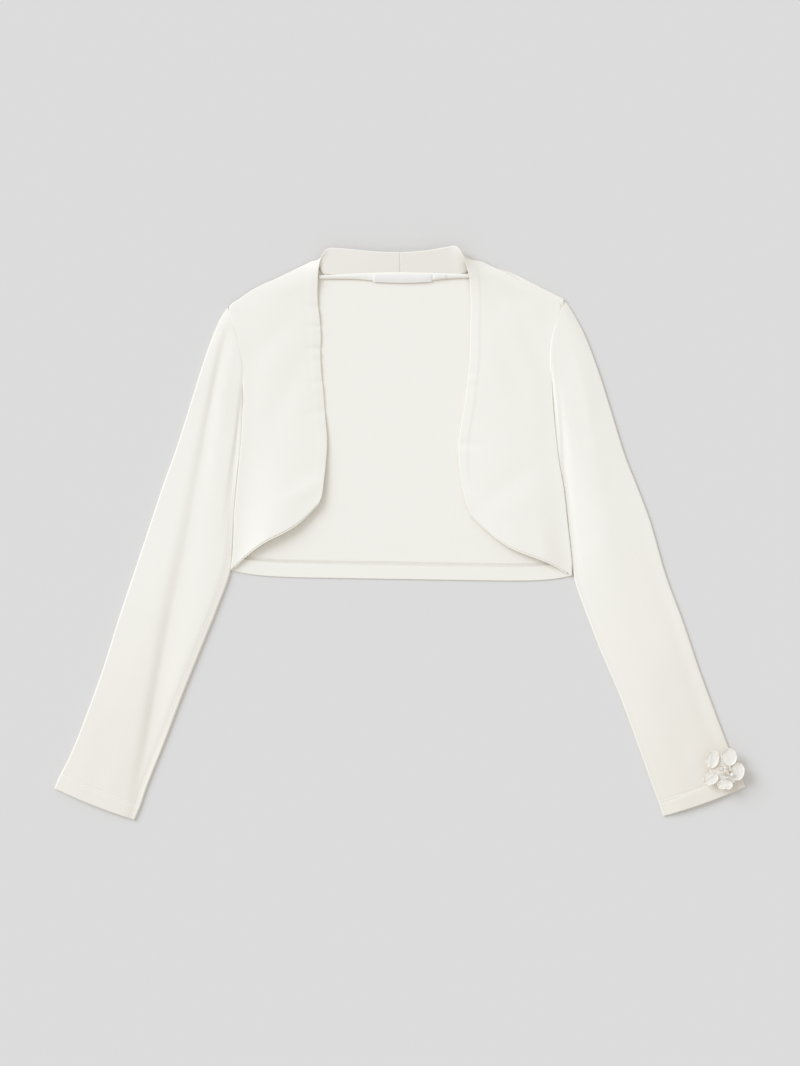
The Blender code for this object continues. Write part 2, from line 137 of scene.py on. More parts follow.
def add_floor():
    """A plain pale grey surface under the jacket."""
    floor = start_from("floor", bpy.ops.mesh.primitive_plane_add, size=FLOOR_SIZE, location=(0, 0, 0))
    paper = bpy.data.materials.new("pale_paper")
    paper.use_nodes = True
    shader = paper.node_tree.nodes["Principled BSDF"]
    grey = [FLOOR_GREY / light for light in LIGHT_TINT]
    shader.inputs["Base Color"].default_value = (*grey, 1)
    shader.inputs["Roughness"].default_value = 1.0
    shader.inputs["Specular IOR Level"].default_value = 0.0
    floor.data.materials.append(paper)


add_light()
add_floor()
bpy.context.scene.view_settings.view_transform = "Standard"
print("key light takes", KEY_SHARE, "of the light")

# %% [markdown]
# ## Reading the garment's tables
# A cutter gives a panel by a few measurements, one row for each place along it. These tables do
# the same: millimetres in the jacket's own frame, +Y up the body, +X towards the wearer's left.
# In plan they are the ones that the solids were made from, so each cloth lies where its solid
# does. A smooth curve is drawn through the rows, and any number of points can be read from it.

# %% Reading helpers
MIDDLE_X = 0.045                    # middle of the laid jacket, in the tables' own frame
MIDDLE_Y = 0.114


def table(columns, rows):
    """A table of rows whose columns can be read by their names."""
    row_of = namedtuple("Row", columns)
    return [row_of(*row) for row in rows]


def read(rows, t):
    """A table of rows, read smoothly at t, counted in rows."""
    last = len(rows) - 1
    i = int(min(max(t, 0), last - 1e-6))
    s = t - i
    here = np.array(rows[i], float)
    there = np.array(rows[i + 1], float)
    before = np.array(rows[i - 1], float) if i > 0 else 2 * here - there
    after = np.array(rows[i + 2], float) if i + 2 <= last else 2 * there - here
    bend = (2 * before - 5 * here + 4 * there - after) * s * s
    twist = (3 * here - before - 3 * there + after) * s ** 3
    return 0.5 * (2 * here + (there - before) * s + bend + twist)


READ_SPREAD = 0.6                   # how far to each side of its place a soft reading looks
READ_COUNT = 7                      # and how many readings it takes the mean of


def read_soft(rows, key, spread=READ_SPREAD):
    """A table whose first column is the key, read at it with its corners rounded off."""
    keys = [row[0] for row in rows]
    near = key + spread * np.linspace(-1, 1, READ_COUNT)
    return [np.interp(near, keys, [row[i] for row in rows]).mean() for i in range(1, len(rows[0]))]


def quarter(share):
    """The rise of a quarter circle, from 0 at its foot to 1 at its top."""
    return np.sqrt(1 - (1 - np.clip(share, 0, 1)) ** 2)


def dome(share):
    """A gentle rise from 0 to 1, steep at its foot and flat at its top."""
    return 1 - (1 - np.clip(share, 0, 1)) ** 2


def bounded(share, round_by=0.12):
    """An even rise from 0 to 1 that rounds off into a flat top."""
    share = np.asarray(share, float)
    return share - round_by * np.logaddexp(0, (share - 1) / round_by)


def hill(distance, width):
    """A soft bell: 1 in the middle, near 0 at twice the width."""
    return np.exp(-(distance / width) ** 2)


def ramp(value, low, high):
    """A smooth step from 0 at low to 1 at high."""
    s = np.clip((value - low) / (high - low), 0, 1)
    return s * s * (3 - 2 * s)


def ripple(points, size, seed):
    """A slow, uneven wave over the cloth, from -1 to 1, its humps about size across."""
    flat = points.reshape(-1, 3)
    values = [noise.noise(Vector((x / size, y / size, seed))) for x, y, _ in flat]
    return np.array(values).reshape(points.shape[:-1])


def waves(points, rows, level=0):
    """Several ripples added up, each given by its height, its size and its seed."""
    return sum((height * ripple(points, size, seed) for height, size, seed in rows), level)


def even(count):
    """Shares from 0 to 1 in even steps."""
    return np.linspace(0, 1, count + 1)


def both_ends(count):
    """Shares from 0 to 1, closer together near both ends."""
    return (1 - np.cos(pi * even(count))) / 2


def runs(*stretches):
    """One list of places from stretches of (from, to, steps), each ending where the next begins."""
    places = [stretches[0][0]]
    for low, high, count in stretches:
        places += list(low + (high - low) * even(count)[1:])
    return places


print("halfway between 0 and 4, read smoothly:", read([(0, 0), (10, 4), (20, 0)], 0.5)[1])

# %% [markdown]
# ## Making a sheet
# Every panel starts as Blender's own grid primitive, with a row of points for each section that
# is read from the table. A function puts the points in place, and Solidify gives the cloth its
# thickness. Real cloth has no square rim: where it is cut or turned, it rounds off. A vertex
# group that thins the cloth close to its edge does that. The UV map is in metres, so the knit
# keeps its size on every piece, however the panel turns.

# %% Sheet helpers
RIM_LEFT = 0.15                     # share of the thickness that is left at a sheet's very edge
RIM_ROUND = 0.55                    # width over which the edge rounds off, in thicknesses
TINY = 1e-12                        # keeps a division away from zero


def looks(points):
    """The direction in which each point of a grid of cloth looks, on one of its faces."""
    normal = np.cross(np.gradient(points, axis=1), np.gradient(points, axis=0))
    return normal / (np.linalg.norm(normal, axis=-1, keepdims=True) + TINY)


def facing_up(points):
    """The same direction on the upper face of a sheet that lies flat."""
    normal = looks(points)
    return normal * np.sign(np.mean(normal[..., 2]) + TINY)


def unit(arrows):
    """Arrows drawn out or in to a length of 1."""
    return arrows / np.linalg.norm(arrows, axis=-1, keepdims=True)


def run_length(points, axis):
    """How far along the cloth each point lies from the first one of its row or column."""
    steps = np.linalg.norm(np.diff(points, axis=axis), axis=-1)
    start = np.zeros_like(np.take(steps, [0], axis=axis))
    return np.cumsum(np.concatenate((start, steps), axis=axis), axis=axis)


def edge_distance(points, closed):
    """How far each point lies from the nearest edge of its grid, which may be a closed tube."""
    along = run_length(points, 0)
    nearest = np.minimum(along, along[-1:] - along)
    if not closed:
        across = run_length(points, 1)
        nearest = np.minimum(nearest, np.minimum(across, across[:, -1:] - across))
    return nearest


def woven(points):
    """A UV map in millimetres for a straight strip: its run lengths along and across."""
    return np.stack((run_length(points, 0), run_length(points, 1)), axis=-1)


def cloth_area(piece):
    """The area of one face of a thin sheet."""
    return sum(face.area for face in piece.data.polygons) / 2


def dress(piece, material, node=None):
    """Give a finished piece its material and its body, and hide the solid that it stands for."""
    piece.data.materials.clear()
    piece.data.materials.append(material)
    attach(piece, ROOT)
    if node:
        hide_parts(node)


def grid_sheet(name, points, knit, wall, closed=False):
    """A sheet of cloth through a grid of points in millimetres, thickened with round edges."""
    rows, columns = points.shape[:2]
    piece = start_from(name, bpy.ops.mesh.primitive_grid_add,
                       x_subdivisions=columns - 1, y_subdivisions=rows - 1, size=1)
    place = (points - (MIDDLE_X, MIDDLE_Y, 0)) * MM
    piece.data.vertices.foreach_set("co", place.reshape(-1).astype(np.float32))
    corner = np.empty(len(piece.data.loops), np.int32)
    piece.data.loops.foreach_get("vertex_index", corner)
    uv = (knit.reshape(-1, 2) * MM)[corner]
    piece.data.uv_layers[0].data.foreach_set("uv", uv.reshape(-1).astype(np.float32))
    edge = piece.vertex_groups.new(name="thickness")
    from_edge = edge_distance(points, closed).reshape(-1)
    share = RIM_LEFT + (1 - RIM_LEFT) * quarter(from_edge / (RIM_ROUND * wall))
    for number, weight in enumerate(share):
        edge.add([number], float(weight), "REPLACE")
    bpy.ops.object.mode_set(mode="EDIT")
    bpy.ops.mesh.select_all(action="SELECT")
    if closed:
        bpy.ops.mesh.remove_doubles(threshold=MM / 1000)
    bpy.ops.mesh.normals_make_consistent(inside=False)
    bpy.ops.object.mode_set(mode="OBJECT")
    thick = piece.modifiers.new("cloth", "SOLIDIFY")
    thick.thickness = wall * MM
    thick.offset = 0
    thick.vertex_group = "thickness"
    bpy.ops.object.modifier_apply(modifier="cloth")
    piece.vertex_groups.clear()
    piece.data.shade_smooth()
    return piece


def add_cloth(name, node, points, knit, wall, material, closed=False):
    """A whole sheet of cloth, made and dressed."""
    piece = grid_sheet(name, points, knit, wall, closed)
    dress(piece, material, node)
    print(name, len(piece.data.polygons), "faces", round(cloth_area(piece), 5), "m2")
    return piece


print("a sheet's edge keeps", RIM_LEFT, "of its thickness")

# %% Turned hems
HEM_SINK = 3.0                      # width over which a hem's cut edge sinks into the cloth below
FOLD_STEPS = 6                      # steps round the half circle of its fold


def turned_hem(points, upwards, depth, radius):
    """Rows that fold the last rows of a grid over and lay them back on the panel."""
    back = run_length(points, 0)
    sunk = quarter((depth - (back[-1:] - back)) / HEM_SINK)
    inner = points + upwards * 2 * radius * sunk[..., None]
    first = int(np.argmax((back[-1:] - back).mean(axis=1) <= depth))
    outwards = unit(points[-1] - points[-2])
    turn = [points[-1] + outwards * radius * sin(a) + upwards[-1] * radius * (1 - cos(a))
            for a in np.linspace(0, pi, FOLD_STEPS + 1)[1:-1]]
    return np.concatenate((points, turn, inner[first:][::-1]))


print("a hem's cut edge sinks in over", HEM_SINK, "mm")

# %% [markdown]
# ## The materials
# The jersey is fine and matt, with a faint sheen from its fibres. Its knit is a V every
# 0.8 mm, far too small to model on a whole jacket, so it is bump. The V comes from the
# piece's own UV map in metres: the across share is folded in two, and it tilts the course. A
# slow noise on Object coordinates gives the cloth its uneven tone, and a painted shade on Object
# coordinates darkens it towards the cuffs and towards +X. Colours that are the same all
# over go straight into the shader's sockets.

# %% Material helpers
WALE = 0.0008                       # width of one column of stitches
COURSE = 0.0006                     # height of one row of stitches
LEG_TILT = 1.2                      # courses that a leg of the V climbs from its foot to its top
COLUMN_DEPTH = 0.5                  # how much the columns and the rows count in the height
ROW_DEPTH = 0.25


class Wiring:
    """A material's node tree, with short calls to add and join its nodes."""

    def __init__(self, name):
        self.material = bpy.data.materials.new(name)
        self.material.use_nodes = True
        self.tree = self.material.node_tree
        self.shader = self.tree.nodes["Principled BSDF"]

    def node(self, kind, **settings):
        """Add a node and set its properties."""
        made = self.tree.nodes.new(kind)
        for key, value in settings.items():
            setattr(made, key, value)
        return made

    def join(self, source, target):
        """Join an output to an input."""
        self.tree.links.new(source, target)

    def math(self, operation, first, second=0.0):
        """A math node of two values, each a number or an output."""
        made = self.node("ShaderNodeMath", operation=operation)
        for socket, value in zip(made.inputs, (first, second)):
            if isinstance(value, (int, float)):
                socket.default_value = value
            else:
                self.join(value, socket)
        return made.outputs[0]

    def noise(self, scale, detail=2.0, space="Object"):
        """A noise over the piece, its scale in humps a metre."""
        made = self.node("ShaderNodeTexNoise")
        made.inputs["Scale"].default_value = scale
        made.inputs["Detail"].default_value = detail
        self.join(self.node("ShaderNodeTexCoord").outputs[space], made.inputs["Vector"])
        return made.outputs["Fac"]

    def tones(self, value, stops):
        """A colour ramp of (place, colour) stops, read at value."""
        made = self.node("ShaderNodeValToRGB")
        ramp_stops = made.color_ramp.elements
        while len(ramp_stops) < len(stops):
            ramp_stops.new(0.5)
        for stop, (place, colour) in zip(ramp_stops, stops):
            stop.position = place
            stop.color = (*colour, 1)
        self.join(value, made.inputs["Fac"])
        return made.outputs["Color"]

    def bump(self, height, distance, strength=1.0):
        """A bump of a height output, its full height given in metres."""
        made = self.node("ShaderNodeBump")
        made.inputs["Strength"].default_value = strength
        made.inputs["Distance"].default_value = distance
        self.join(height, made.inputs["Height"])
        self.join(made.outputs["Normal"], self.shader.inputs["Normal"])
        return made


def set_finish(shader, **sockets):
    """Set plain values straight on a shader's sockets, by their names with _ for a space."""
    for name, value in sockets.items():
        shader.inputs[name.replace("_", " ")].default_value = value


def knit_height(wiring):
    """The height of the knit, 0 to 1, from the UV map in metres: a V on each stitch."""
    split = wiring.node("ShaderNodeSeparateXYZ")
    wiring.join(wiring.node("ShaderNodeTexCoord").outputs["UV"], split.inputs[0])
    across = wiring.math("MULTIPLY", split.outputs["X"], 1 / WALE)
    leg = wiring.math("ABSOLUTE", wiring.math("SUBTRACT", wiring.math("FRACT", across), 0.5))
    column = wiring.math("SINE", wiring.math("MULTIPLY", leg, 2 * pi))
    course = wiring.math("MULTIPLY", split.outputs["Y"], 1 / COURSE)
    tilted = wiring.math("ADD", course, wiring.math("MULTIPLY", leg, LEG_TILT))
    row = wiring.math("SINE", wiring.math("MULTIPLY", tilted, 2 * pi))
    loop = wiring.math("MULTIPLY", row, ROW_DEPTH)
    return wiring.math("ADD", wiring.math("MULTIPLY", column, COLUMN_DEPTH), loop)


print("a stitch is", WALE * 1000, "mm wide")

# %% Cloth materials
IVORY = (0.930, 0.870, 0.757)
PALE = (0.965, 0.905, 0.80)         # the neck tape
IVORY_PAINTED_SHADE = (0.842, 0.766, 0.646)   # the same cloth darkened by painted shade, near the cuffs
PAINTED_SHADE_DOWN = (0.02, -0.30)           # painted shade deepens between these places in Y, in metres
PAINTED_SHADE_ACROSS = (-0.30, 0.30)         # and more painted shade from the one to the other of these in X
PAINTED_SHADE_SHARES = (0.50, 0.72)          # where it reaches these shares of the painted shade colour
MOTTLE = 0.22                       # how far the uneven patches move the tone


def jersey(name, pale=IVORY, low=IVORY_PAINTED_SHADE):
    """Fine ivory cotton jersey, with painted shade that darkens it towards the cuffs and towards +X."""
    w = Wiring(name)
    place = w.node("ShaderNodeSeparateXYZ")
    w.join(w.node("ShaderNodeTexCoord").outputs["Object"], place.inputs[0])
    # painted shade: the colour darkens down the jacket in Y, towards the cuffs
    down = w.node("ShaderNodeMapRange", interpolation_type="SMOOTHSTEP")
    w.join(place.outputs["Y"], down.inputs["Value"])
    set_finish(down, From_Min=PAINTED_SHADE_DOWN[0], From_Max=PAINTED_SHADE_DOWN[1], To_Min=0.0, To_Max=1.0)
    # painted shade: more of it towards +X, the side away from the key light
    side = w.node("ShaderNodeMapRange")
    w.join(place.outputs["X"], side.inputs["Value"])
    set_finish(side, From_Min=PAINTED_SHADE_ACROSS[0], From_Max=PAINTED_SHADE_ACROSS[1])
    set_finish(side, To_Min=PAINTED_SHADE_SHARES[0], To_Max=PAINTED_SHADE_SHARES[1])
    mottle = w.math("MULTIPLY", w.math("SUBTRACT", w.noise(13.0, 3.0), 0.5), MOTTLE)
    # tone is the painted shade plus the cloth's own random mottle; low is the painted shade colour
    tone = w.math("ADD", w.math("MULTIPLY", down.outputs[0], side.outputs[0]), mottle)
    w.join(w.tones(tone, ((0.0, pale), (1.0, low))), w.shader.inputs["Base Color"])
    set_finish(w.shader, Roughness=0.9, Sheen_Weight=0.04, Sheen_Roughness=0.5)
    set_finish(w.shader, Specular_IOR_Level=0.12)
    fuzz = w.math("MULTIPLY", w.noise(2400.0, 1.0), 0.35)
    w.bump(w.math("ADD", knit_height(w), fuzz), 0.00006, 0.6)
    return w.material


ivory_jersey = jersey("ivory_jersey_cloth")
pale_jersey = jersey("pale_tape_cloth", PALE, PALE)


def satin(name, colour, roughness, scale):
    """A smooth woven satin ribbon cloth, with fine threads along one way."""
    w = Wiring(name)
    set_finish(w.shader, Base_Color=(*colour, 1), Roughness=roughness, Sheen_Weight=0.1)
    set_finish(w.shader, Specular_IOR_Level=0.3)
    threads = w.node("ShaderNodeTexWave", wave_type="BANDS", bands_direction="X")
    threads.inputs["Scale"].default_value = scale
    threads.inputs["Distortion"].default_value = 1.5
    w.join(w.node("ShaderNodeTexCoord").outputs["UV"], threads.inputs["Vector"])
    w.bump(threads.outputs["Fac"], 0.00003, 0.5)
    return w.material


label_satin = satin("label_satin_cloth", (0.930, 0.880, 0.800), 0.5, 900.0)
petal_satin = satin("petal_satin_cloth", (0.885, 0.815, 0.71), 0.6, 700.0)


def thread():
    """Twisted sewing thread, a little brighter than the jersey."""
    w = Wiring("ivory_thread")
    set_finish(w.shader, Base_Color=(0.985, 0.950, 0.870, 1), Roughness=0.6, Sheen_Weight=0.15)
    w.bump(w.noise(3000.0, 1.0), 0.00004, 0.5)
    return w.material


ivory_thread = thread()
print("cloth materials made")

# %% [markdown]
# ## The two fronts
# Each front is cut in one with its half of the collar: it runs from the curved hem up over the
# shoulder, turns the neck corner and stands up along the back neck to the centre. So it is one
# long grid, with a row for each section. At its seams the cloth dips and tucks under its
# neighbour, and along its free edge it rolls inwards to meet the facing. Pinches are placed
# where the turned edge pulls the cloth.

# %% Shape of the fronts
SIDES = ("right", "left")
RIGHT_ROWS = table("seam_x seam_y edge_x edge_y", (
    (-169.0, -36.5, -80.7, 31.0),
    (-167.4, -24.0, -78.0, 39.0),
    (-166.2, -2.0, -76.2, 53.0),
    (-165.2, 23.0, -74.4, 69.0),
    (-161.4, 63.0, -73.0, 93.0),
    (-158.5, 93.0, -75.0, 118.0),
    (-157.0, 121.0, -76.7, 141.0),
    (-156.1, 140.0, -78.7, 159.0),
    (-158.5, 171.0, -79.7, 181.0),
    (-161.2, 190.0, -79.3, 196.0),
    (-164.3, 203.0, -80.1, 211.0),
    (-171.0, 225.0, -82.0, 227.0),
    (-160.0, 235.0, -82.6, 236.0),
    (-144.0, 245.6, -82.7, 244.0),
    (-123.5, 255.0, -82.3, 252.0),
    (-106.0, 263.5, -82.0, 259.0),
    (-94.5, 269.0, -81.4, 266.0),
    (-86.5, 272.2, -79.9, 273.0),
    (-81.5, 266.5, -77.1, 279.4),
    (-76.5, 259.0, -71.5, 284.4),
    (-67.0, 256.8, -62.0, 284.8),
    (-48.0, 257.5, -46.0, 283.4),
    (-24.0, 259.0, -23.0, 281.3),
    (-0.2, 259.6, -0.2, 280.6),
))
LEFT_ROWS = table("seam_x seam_y edge_x edge_y", (
    (171.4, -42.0, 70.0, 19.0),
    (171.5, -30.0, 66.5, 30.0),
    (169.8, -12.6, 63.5, 42.0),
    (167.0, 12.0, 60.3, 59.0),
    (163.5, 44.0, 58.7, 81.0),
    (158.6, 72.0, 60.5, 104.0),
    (155.0, 103.0, 64.0, 124.0),
    (152.8, 128.0, 67.0, 148.0),
    (151.7, 150.0, 69.0, 166.0),
    (151.3, 171.0, 70.0, 183.0),
    (151.7, 191.0, 70.2, 200.0),
    (154.3, 209.0, 70.7, 216.0),
    (160.0, 228.0, 71.0, 230.0),
    (145.0, 238.0, 70.6, 242.0),
    (127.0, 247.7, 69.8, 252.0),
    (111.0, 258.0, 68.6, 259.0),
    (94.0, 266.0, 66.5, 266.5),
    (80.5, 272.0, 64.3, 273.0),
    (71.5, 268.5, 61.8, 279.3),
    (68.5, 262.5, 58.5, 284.6),
    (62.0, 258.2, 54.0, 286.9),
    (52.0, 258.0, 46.0, 285.5),
    (25.0, 258.7, 24.0, 282.1),
    (0.2, 259.4, 0.2, 280.6),
))
# The heights of the cloth in millimetres: at the seam and at the free edge, how far the middle
# bulges above them, the width over which it rises from the seam, and how straight that rise is.
RIGHT_HEIGHTS = table("row seam edge crown roll straight", (
    (0, 4.2, 3.6, 0.8, 30, 0.0),
    (2, 3.9, 3.1, 1.0, 30, 0.0),
    (5, 3.0, 2.4, 1.0, 28, 0.0),
    (7, 2.4, 2.3, 1.0, 28, 0.0),
    (8, 2.7, 2.3, 0.9, 28, 0.0),
    (10, 2.9, 2.4, 0.8, 28, 0.0),
    (11, 2.3, 2.8, 0.6, 30, 0.0),
    (12, 2.3, 3.0, 0.2, 40, 0.0),
    (14, 2.2, 4.0, 0.1, 40, 0.4),
    (16, 2.0, 6.2, 0.0, 26, 0.7),
    (17, 1.8, 7.4, 0.0, 26, 0.9),
    (18, 1.5, 7.8, 0.0, 26, 1.0),
    (19, 1.5, 7.6, 0.0, 26, 1.0),
    (21, 1.5, 7.4, 0.0, 26, 1.0),
    (23, 1.5, 7.6, 0.0, 26, 1.0),
))
LEFT_HEIGHTS = table("row seam edge crown roll straight", (
    (0, 3.1, 2.9, 0.8, 30, 0.0),
    (2, 2.9, 2.6, 1.0, 30, 0.0),
    (5, 2.5, 2.5, 1.0, 28, 0.0),
    (8, 2.2, 2.5, 1.0, 28, 0.0),
    (9, 2.7, 2.6, 0.9, 28, 0.0),
    (11, 3.0, 2.7, 0.8, 28, 0.0),
    (12, 3.4, 3.0, 0.6, 28, 0.0),
    (13, 3.6, 3.6, 0.4, 28, 0.0),
    (14, 3.5, 4.8, 0.2, 28, 0.3),
    (15, 3.2, 6.2, 0.1, 26, 0.5),
    (16, 2.4, 8.2, 0.0, 26, 0.7),
    (17, 1.8, 11.4, 0.0, 26, 0.9),
    (18, 1.5, 13.4, 0.0, 26, 1.0),
    (19, 1.5, 12.8, 0.0, 26, 1.0),
    (21, 1.5, 9.4, 0.0, 26, 1.0),
    (23, 1.5, 7.6, 0.0, 26, 1.0),
))
FRONTS = {"right": (RIGHT_ROWS, RIGHT_HEIGHTS), "left": (LEFT_ROWS, LEFT_HEIGHTS)}
LAST_ROW = len(RIGHT_ROWS) - 1      # the row of the collar's seam at the centre back
print("a front is drawn through", len(RIGHT_ROWS), "sections")

# %% Seams and edges of the fronts
CLOTH = 0.65                        # thickness of the jersey as it is seen

# How far a front's seam edge reaches past the seam line, and how deep it dips there: at the side,
# along the armhole, then over the shoulder.
SEAMS = {
    "right": table("row lap dip", (
        (0, 0.85, 0.3), (7, 0.85, 0.3), (8, 0.6, 0.05), (10.4, 0.6, 0.05), (11.2, 0.1, 0.6),
        (15.6, 0.0, 0.6), (16.6, 0.0, 0.2), (17.2, 0.0, 0.0), (23.1, 0.0, 0.0))),
    "left": table("row lap dip", (
        (0, 0.85, 0.3), (8, 0.85, 0.3), (9, 0.6, 0.05), (11.2, 0.6, 0.05), (11.7, 1.2, 0.2),
        (12.0, 0.8, 0.35), (15.2, 0.5, 0.35), (16.0, 0.0, 0.8), (17.2, 0.0, 0.0), (23.1, 0.0, 0.0))),
}
SEAM_SPREAD = 0.25                  # how far the readings of that table are smoothed, in rows
DIP_FADE = 1.6                      # widths over which the dip and the reach die out
LAP_FADE = 3.0
EDGE_CURL = 0.7                     # width over which a free edge rolls inwards
FACING_GAP = 0.70                   # between the middles of front and facing
BACK_SEAM_DIP = 0.3                 # depth of the collar's seam at the centre back
BACK_SEAM_ROWS = 0.08               # and its half width, in rows

# The curved hem stands off the back: by this much, within this far of the side seam, and with
# this share of it left at the free edge.
HEM_LIFT = {"right": (3.8, 50.0, 0.6), "left": (2.6, 34.0, 0.2)}
HEM_LIFT_ROWS = 6.0                 # rows over which it comes down again
BAND_WIDTH = 9.5                    # the strip along the edge that the facing lifts, and how far
BAND_LIFT = {"right": 0.08, "left": 0.25}
BAND_SOFT = 1.4                     # half the width of the step at the strip's inner side
BAND_ROWS = (2, 4)                  # it begins between these rows
BAND_END_ROWS = (15, 17)            # and ends between these

# The curved hem leaves the straight line to the corner by three waves of these heights.
HEM_WAVES = {"right": (0.4, -3.98, 0.4), "left": (6.18, -3.35, -0.32)}
HEM_FADE = 5.0                      # rows over which that curve dies out up the front

# How far the free edge bends down to its roll, by row, and the width of that bend
EDGE_BEND = {"right": ((0, 0.0), (3, 0.3), (6, 0.35), (12, 0.35), (15, 0.2), (17, 0)),
             "left": ((0, 0.0), (3, 0.2), (6, 0.25), (12, 0.25), (15, 0.2), (17, 0))}
BEND_WIDTH = 10.0
print("the free edges bend down within", BEND_WIDTH, "mm")

# %% Pinches of the fronts
# The row and share they lie at, which way they run (degrees from across), their length and width
# in millimetres, and how deep they are. A depth below 0 is a ridge.
PINCHES = {
    "right": table("row share turn long wide deep", (
        (10.9, 1.0, -14, 12, 2.6, 0.5), (9.7, 1.0, -6, 11, 2.4, 0.5), (8.2, 1.0, -4, 12, 2.6, 0.7),
        (7.6, 1.0, -8, 10, 2.2, 0.4), (6.6, 0.99, 4, 12, 3.4, 0.4), (5.2, 0.97, 14, 16, 4.0, 0.4),
        (3.4, 0.62, -38, 34, 11.0, 0.7), (6.6, 0.55, 62, 40, 12.0, 0.5), (2.2, 0.82, 30, 24, 8.0, -0.5),
        (9.5, 0.45, 50, 36, 12.0, 0.4),
    )),
    "left": table("row share turn long wide deep", (
        (7.6, 1.0, 8, 11, 3.4, 0.3), (6.9, 1.0, 2, 12, 3.4, 0.35), (4.4, 0.98, -12, 13, 4.0, 0.8),
        (2.3, 0.97, -40, 14, 3.4, 0.4), (9.6, 1.0, 4, 10, 3.2, 0.2), (12.4, 0.70, -50, 30, 8.0, 0.5),
        (3.4, 0.55, 36, 36, 12.0, 0.6), (8.0, 0.45, -66, 40, 12.0, 0.5), (2.0, 0.80, -28, 24, 8.0, -0.5),
        (10.5, 0.3, -70, 34, 9.0, 0.5),
    )),
}
for side in SIDES:
    print("the", side, "front has", len(PINCHES[side]), "pinches")

# %% The outer cloth of the fronts
STANDING_ROWS = (15, 19)            # the cloth stands up between these rows, and its waves end
SLOW_WAVES = ((0.30, 62, 3.1), (0.16, 27, 7.7))     # heights, sizes and seeds of its slow waves
KNIT_CLIMB = 0.4                    # how much of a climb counts along the columns of the knit
SEAM_COLUMNS = 6                    # a line over this many columns shows the way out of the seam
FRONT_SHARES = both_ends(96)
FRONT_PLACES = runs((0, 0.25, 10), (0.25, 11, 118), (11, 17, 50), (17, 20, 48), (20, 22.9, 34),
                    (22.9, 23.004, 6))


def front_row(side, u, t):
    """One row of a front: u is 0 at the seam and 1 at the free edge."""
    rows, heights = FRONTS[side]
    seam_x, seam_y, edge_x, edge_y = read(rows, t)
    seam, edge, crown, roll, straight = read_soft(heights, t)
    length = np.hypot(edge_x - seam_x, edge_y - seam_y)
    bow = sum(height * np.sin(pi * wave * u) for wave, height in enumerate(HEM_WAVES[side], 1))
    x = seam_x + (edge_x - seam_x) * u
    y = seam_y + (edge_y - seam_y) * u - bow * max(1 - t / HEM_FADE, 0) ** 2
    rise = (1 - straight) * dome(u * length / roll) + straight * u
    bend = read_soft(EDGE_BEND[side], t)[0] * (1 - dome((1 - u) * length / BEND_WIDTH))
    most, within, left_over = HEM_LIFT[side]
    raised = most * ramp(u * length, 0, within) * (1 - (1 - left_over) * ramp(u, 0.5, 1))
    lift = raised * (1 - ramp(t, 0, HEM_LIFT_ROWS))
    band = ramp((u - 1) * length + BAND_WIDTH, -BAND_SOFT, BAND_SOFT) * ramp(t, *BAND_ROWS)
    step = BAND_LIFT[side] * (band * (1 - ramp(t, *BAND_END_ROWS)))
    z = seam + (edge + crown * np.sin(pi * u) - seam) * rise + lift + step - bend
    return np.stack((x, y, z), axis=-1)


def pinched(side, points):
    """The front's points with its pinches pressed in."""
    pressed = points.copy()
    for pinch in PINCHES[side]:
        middle = front_row(side, np.array([pinch.share]), pinch.row)[0]
        away = points[..., :2] - middle[:2]
        turn = radians(pinch.turn)
        along = away[..., 0] * cos(turn) + away[..., 1] * sin(turn)
        across = away[..., 1] * cos(turn) - away[..., 0] * sin(turn)
        pressed[..., 2] -= pinch.deep * hill(along, pinch.long) * hill(across, pinch.wide)
    return pressed


def lying(places):
    """How much of each row lies flat: 1 on the body, 0 where the collar stands."""
    return 1 - ramp(np.array(places), *STANDING_ROWS)[:, None]


def front_knit(points):
    """The knit of a front: its columns run up the body, and on up the standing collar."""
    return np.stack((points[..., 0], points[..., 1] + KNIT_CLIMB * points[..., 2]), axis=-1)


def add_front(side):
    """The outer cloth of one front, tucked in at its seams and rolled in at its free edge."""
    points = np.array([front_row(side, FRONT_SHARES, t) for t in FRONT_PLACES])
    points[..., 2] += waves(points, SLOW_WAVES) * lying(FRONT_PLACES) * quarter(FRONT_SHARES * 4)
    points = pinched(side, points)
    up = facing_up(points)
    across = run_length(points, 1)
    curl = 1 - quarter((across[:, -1:] - across) / EDGE_CURL)
    points -= up * (0.5 * FACING_GAP * curl)[..., None]
    laps, dips = np.array([read_soft(SEAMS[side], t, SEAM_SPREAD) for t in FRONT_PLACES]).T[..., None]
    points[..., 2] -= (1 - quarter(across / DIP_FADE)) * dips
    outwards = unit((points[:, 0] - points[:, SEAM_COLUMNS]) * (1, 1, 0))
    shift = laps * (1 - quarter(across / LAP_FADE))
    points += outwards[:, None] * shift[..., None]
    from_middle = np.array([LAST_ROW - t for t in FRONT_PLACES])[:, None]
    points -= up * (BACK_SEAM_DIP * (1 - quarter(from_middle / BACK_SEAM_ROWS)))[..., None]
    knit = front_knit(points)
    return add_cloth(f"front_{side}_cloth", f"front_{side}", points, knit, CLOTH, ivory_jersey)


fronts = {side: add_front(side) for side in SIDES}

# %% [markdown]
# ## The facings
# A facing is the same cloth again: it lines the collar and follows the free edge and the curved
# hem from inside, so that the front has no raw edge. It is made from the front's own points,
# moved inwards. Along the curved hem it shows past the front by two millimetres, as the double
# rim of a turned edge. Its hidden side keeps a clean cut edge.

# %% Facings
FACING_STARTS = table("row start", (
    (0, 0.04), (1, 0.10), (2, 0.34), (3, 0.56), (4, 0.64), (14, 0.62), (15.2, 0.36), (16.2, 0.16),
    (17.5, 0.08), (20, 0.06), (23, 0.06),
))
START_SPREAD = 0.3                  # how far the readings of that table are smoothed, in rows
FACING_SHARES = both_ends(44)
PEEP = (2.1, 1.8, 1.3, 0.7)         # the facing's rows that show past the curved hem, this far out
PEEP_CURL = 0.80                    # and how far the first of them turns up
HEM_ROWS = 3                        # a line over this many rows shows the way out of the hem


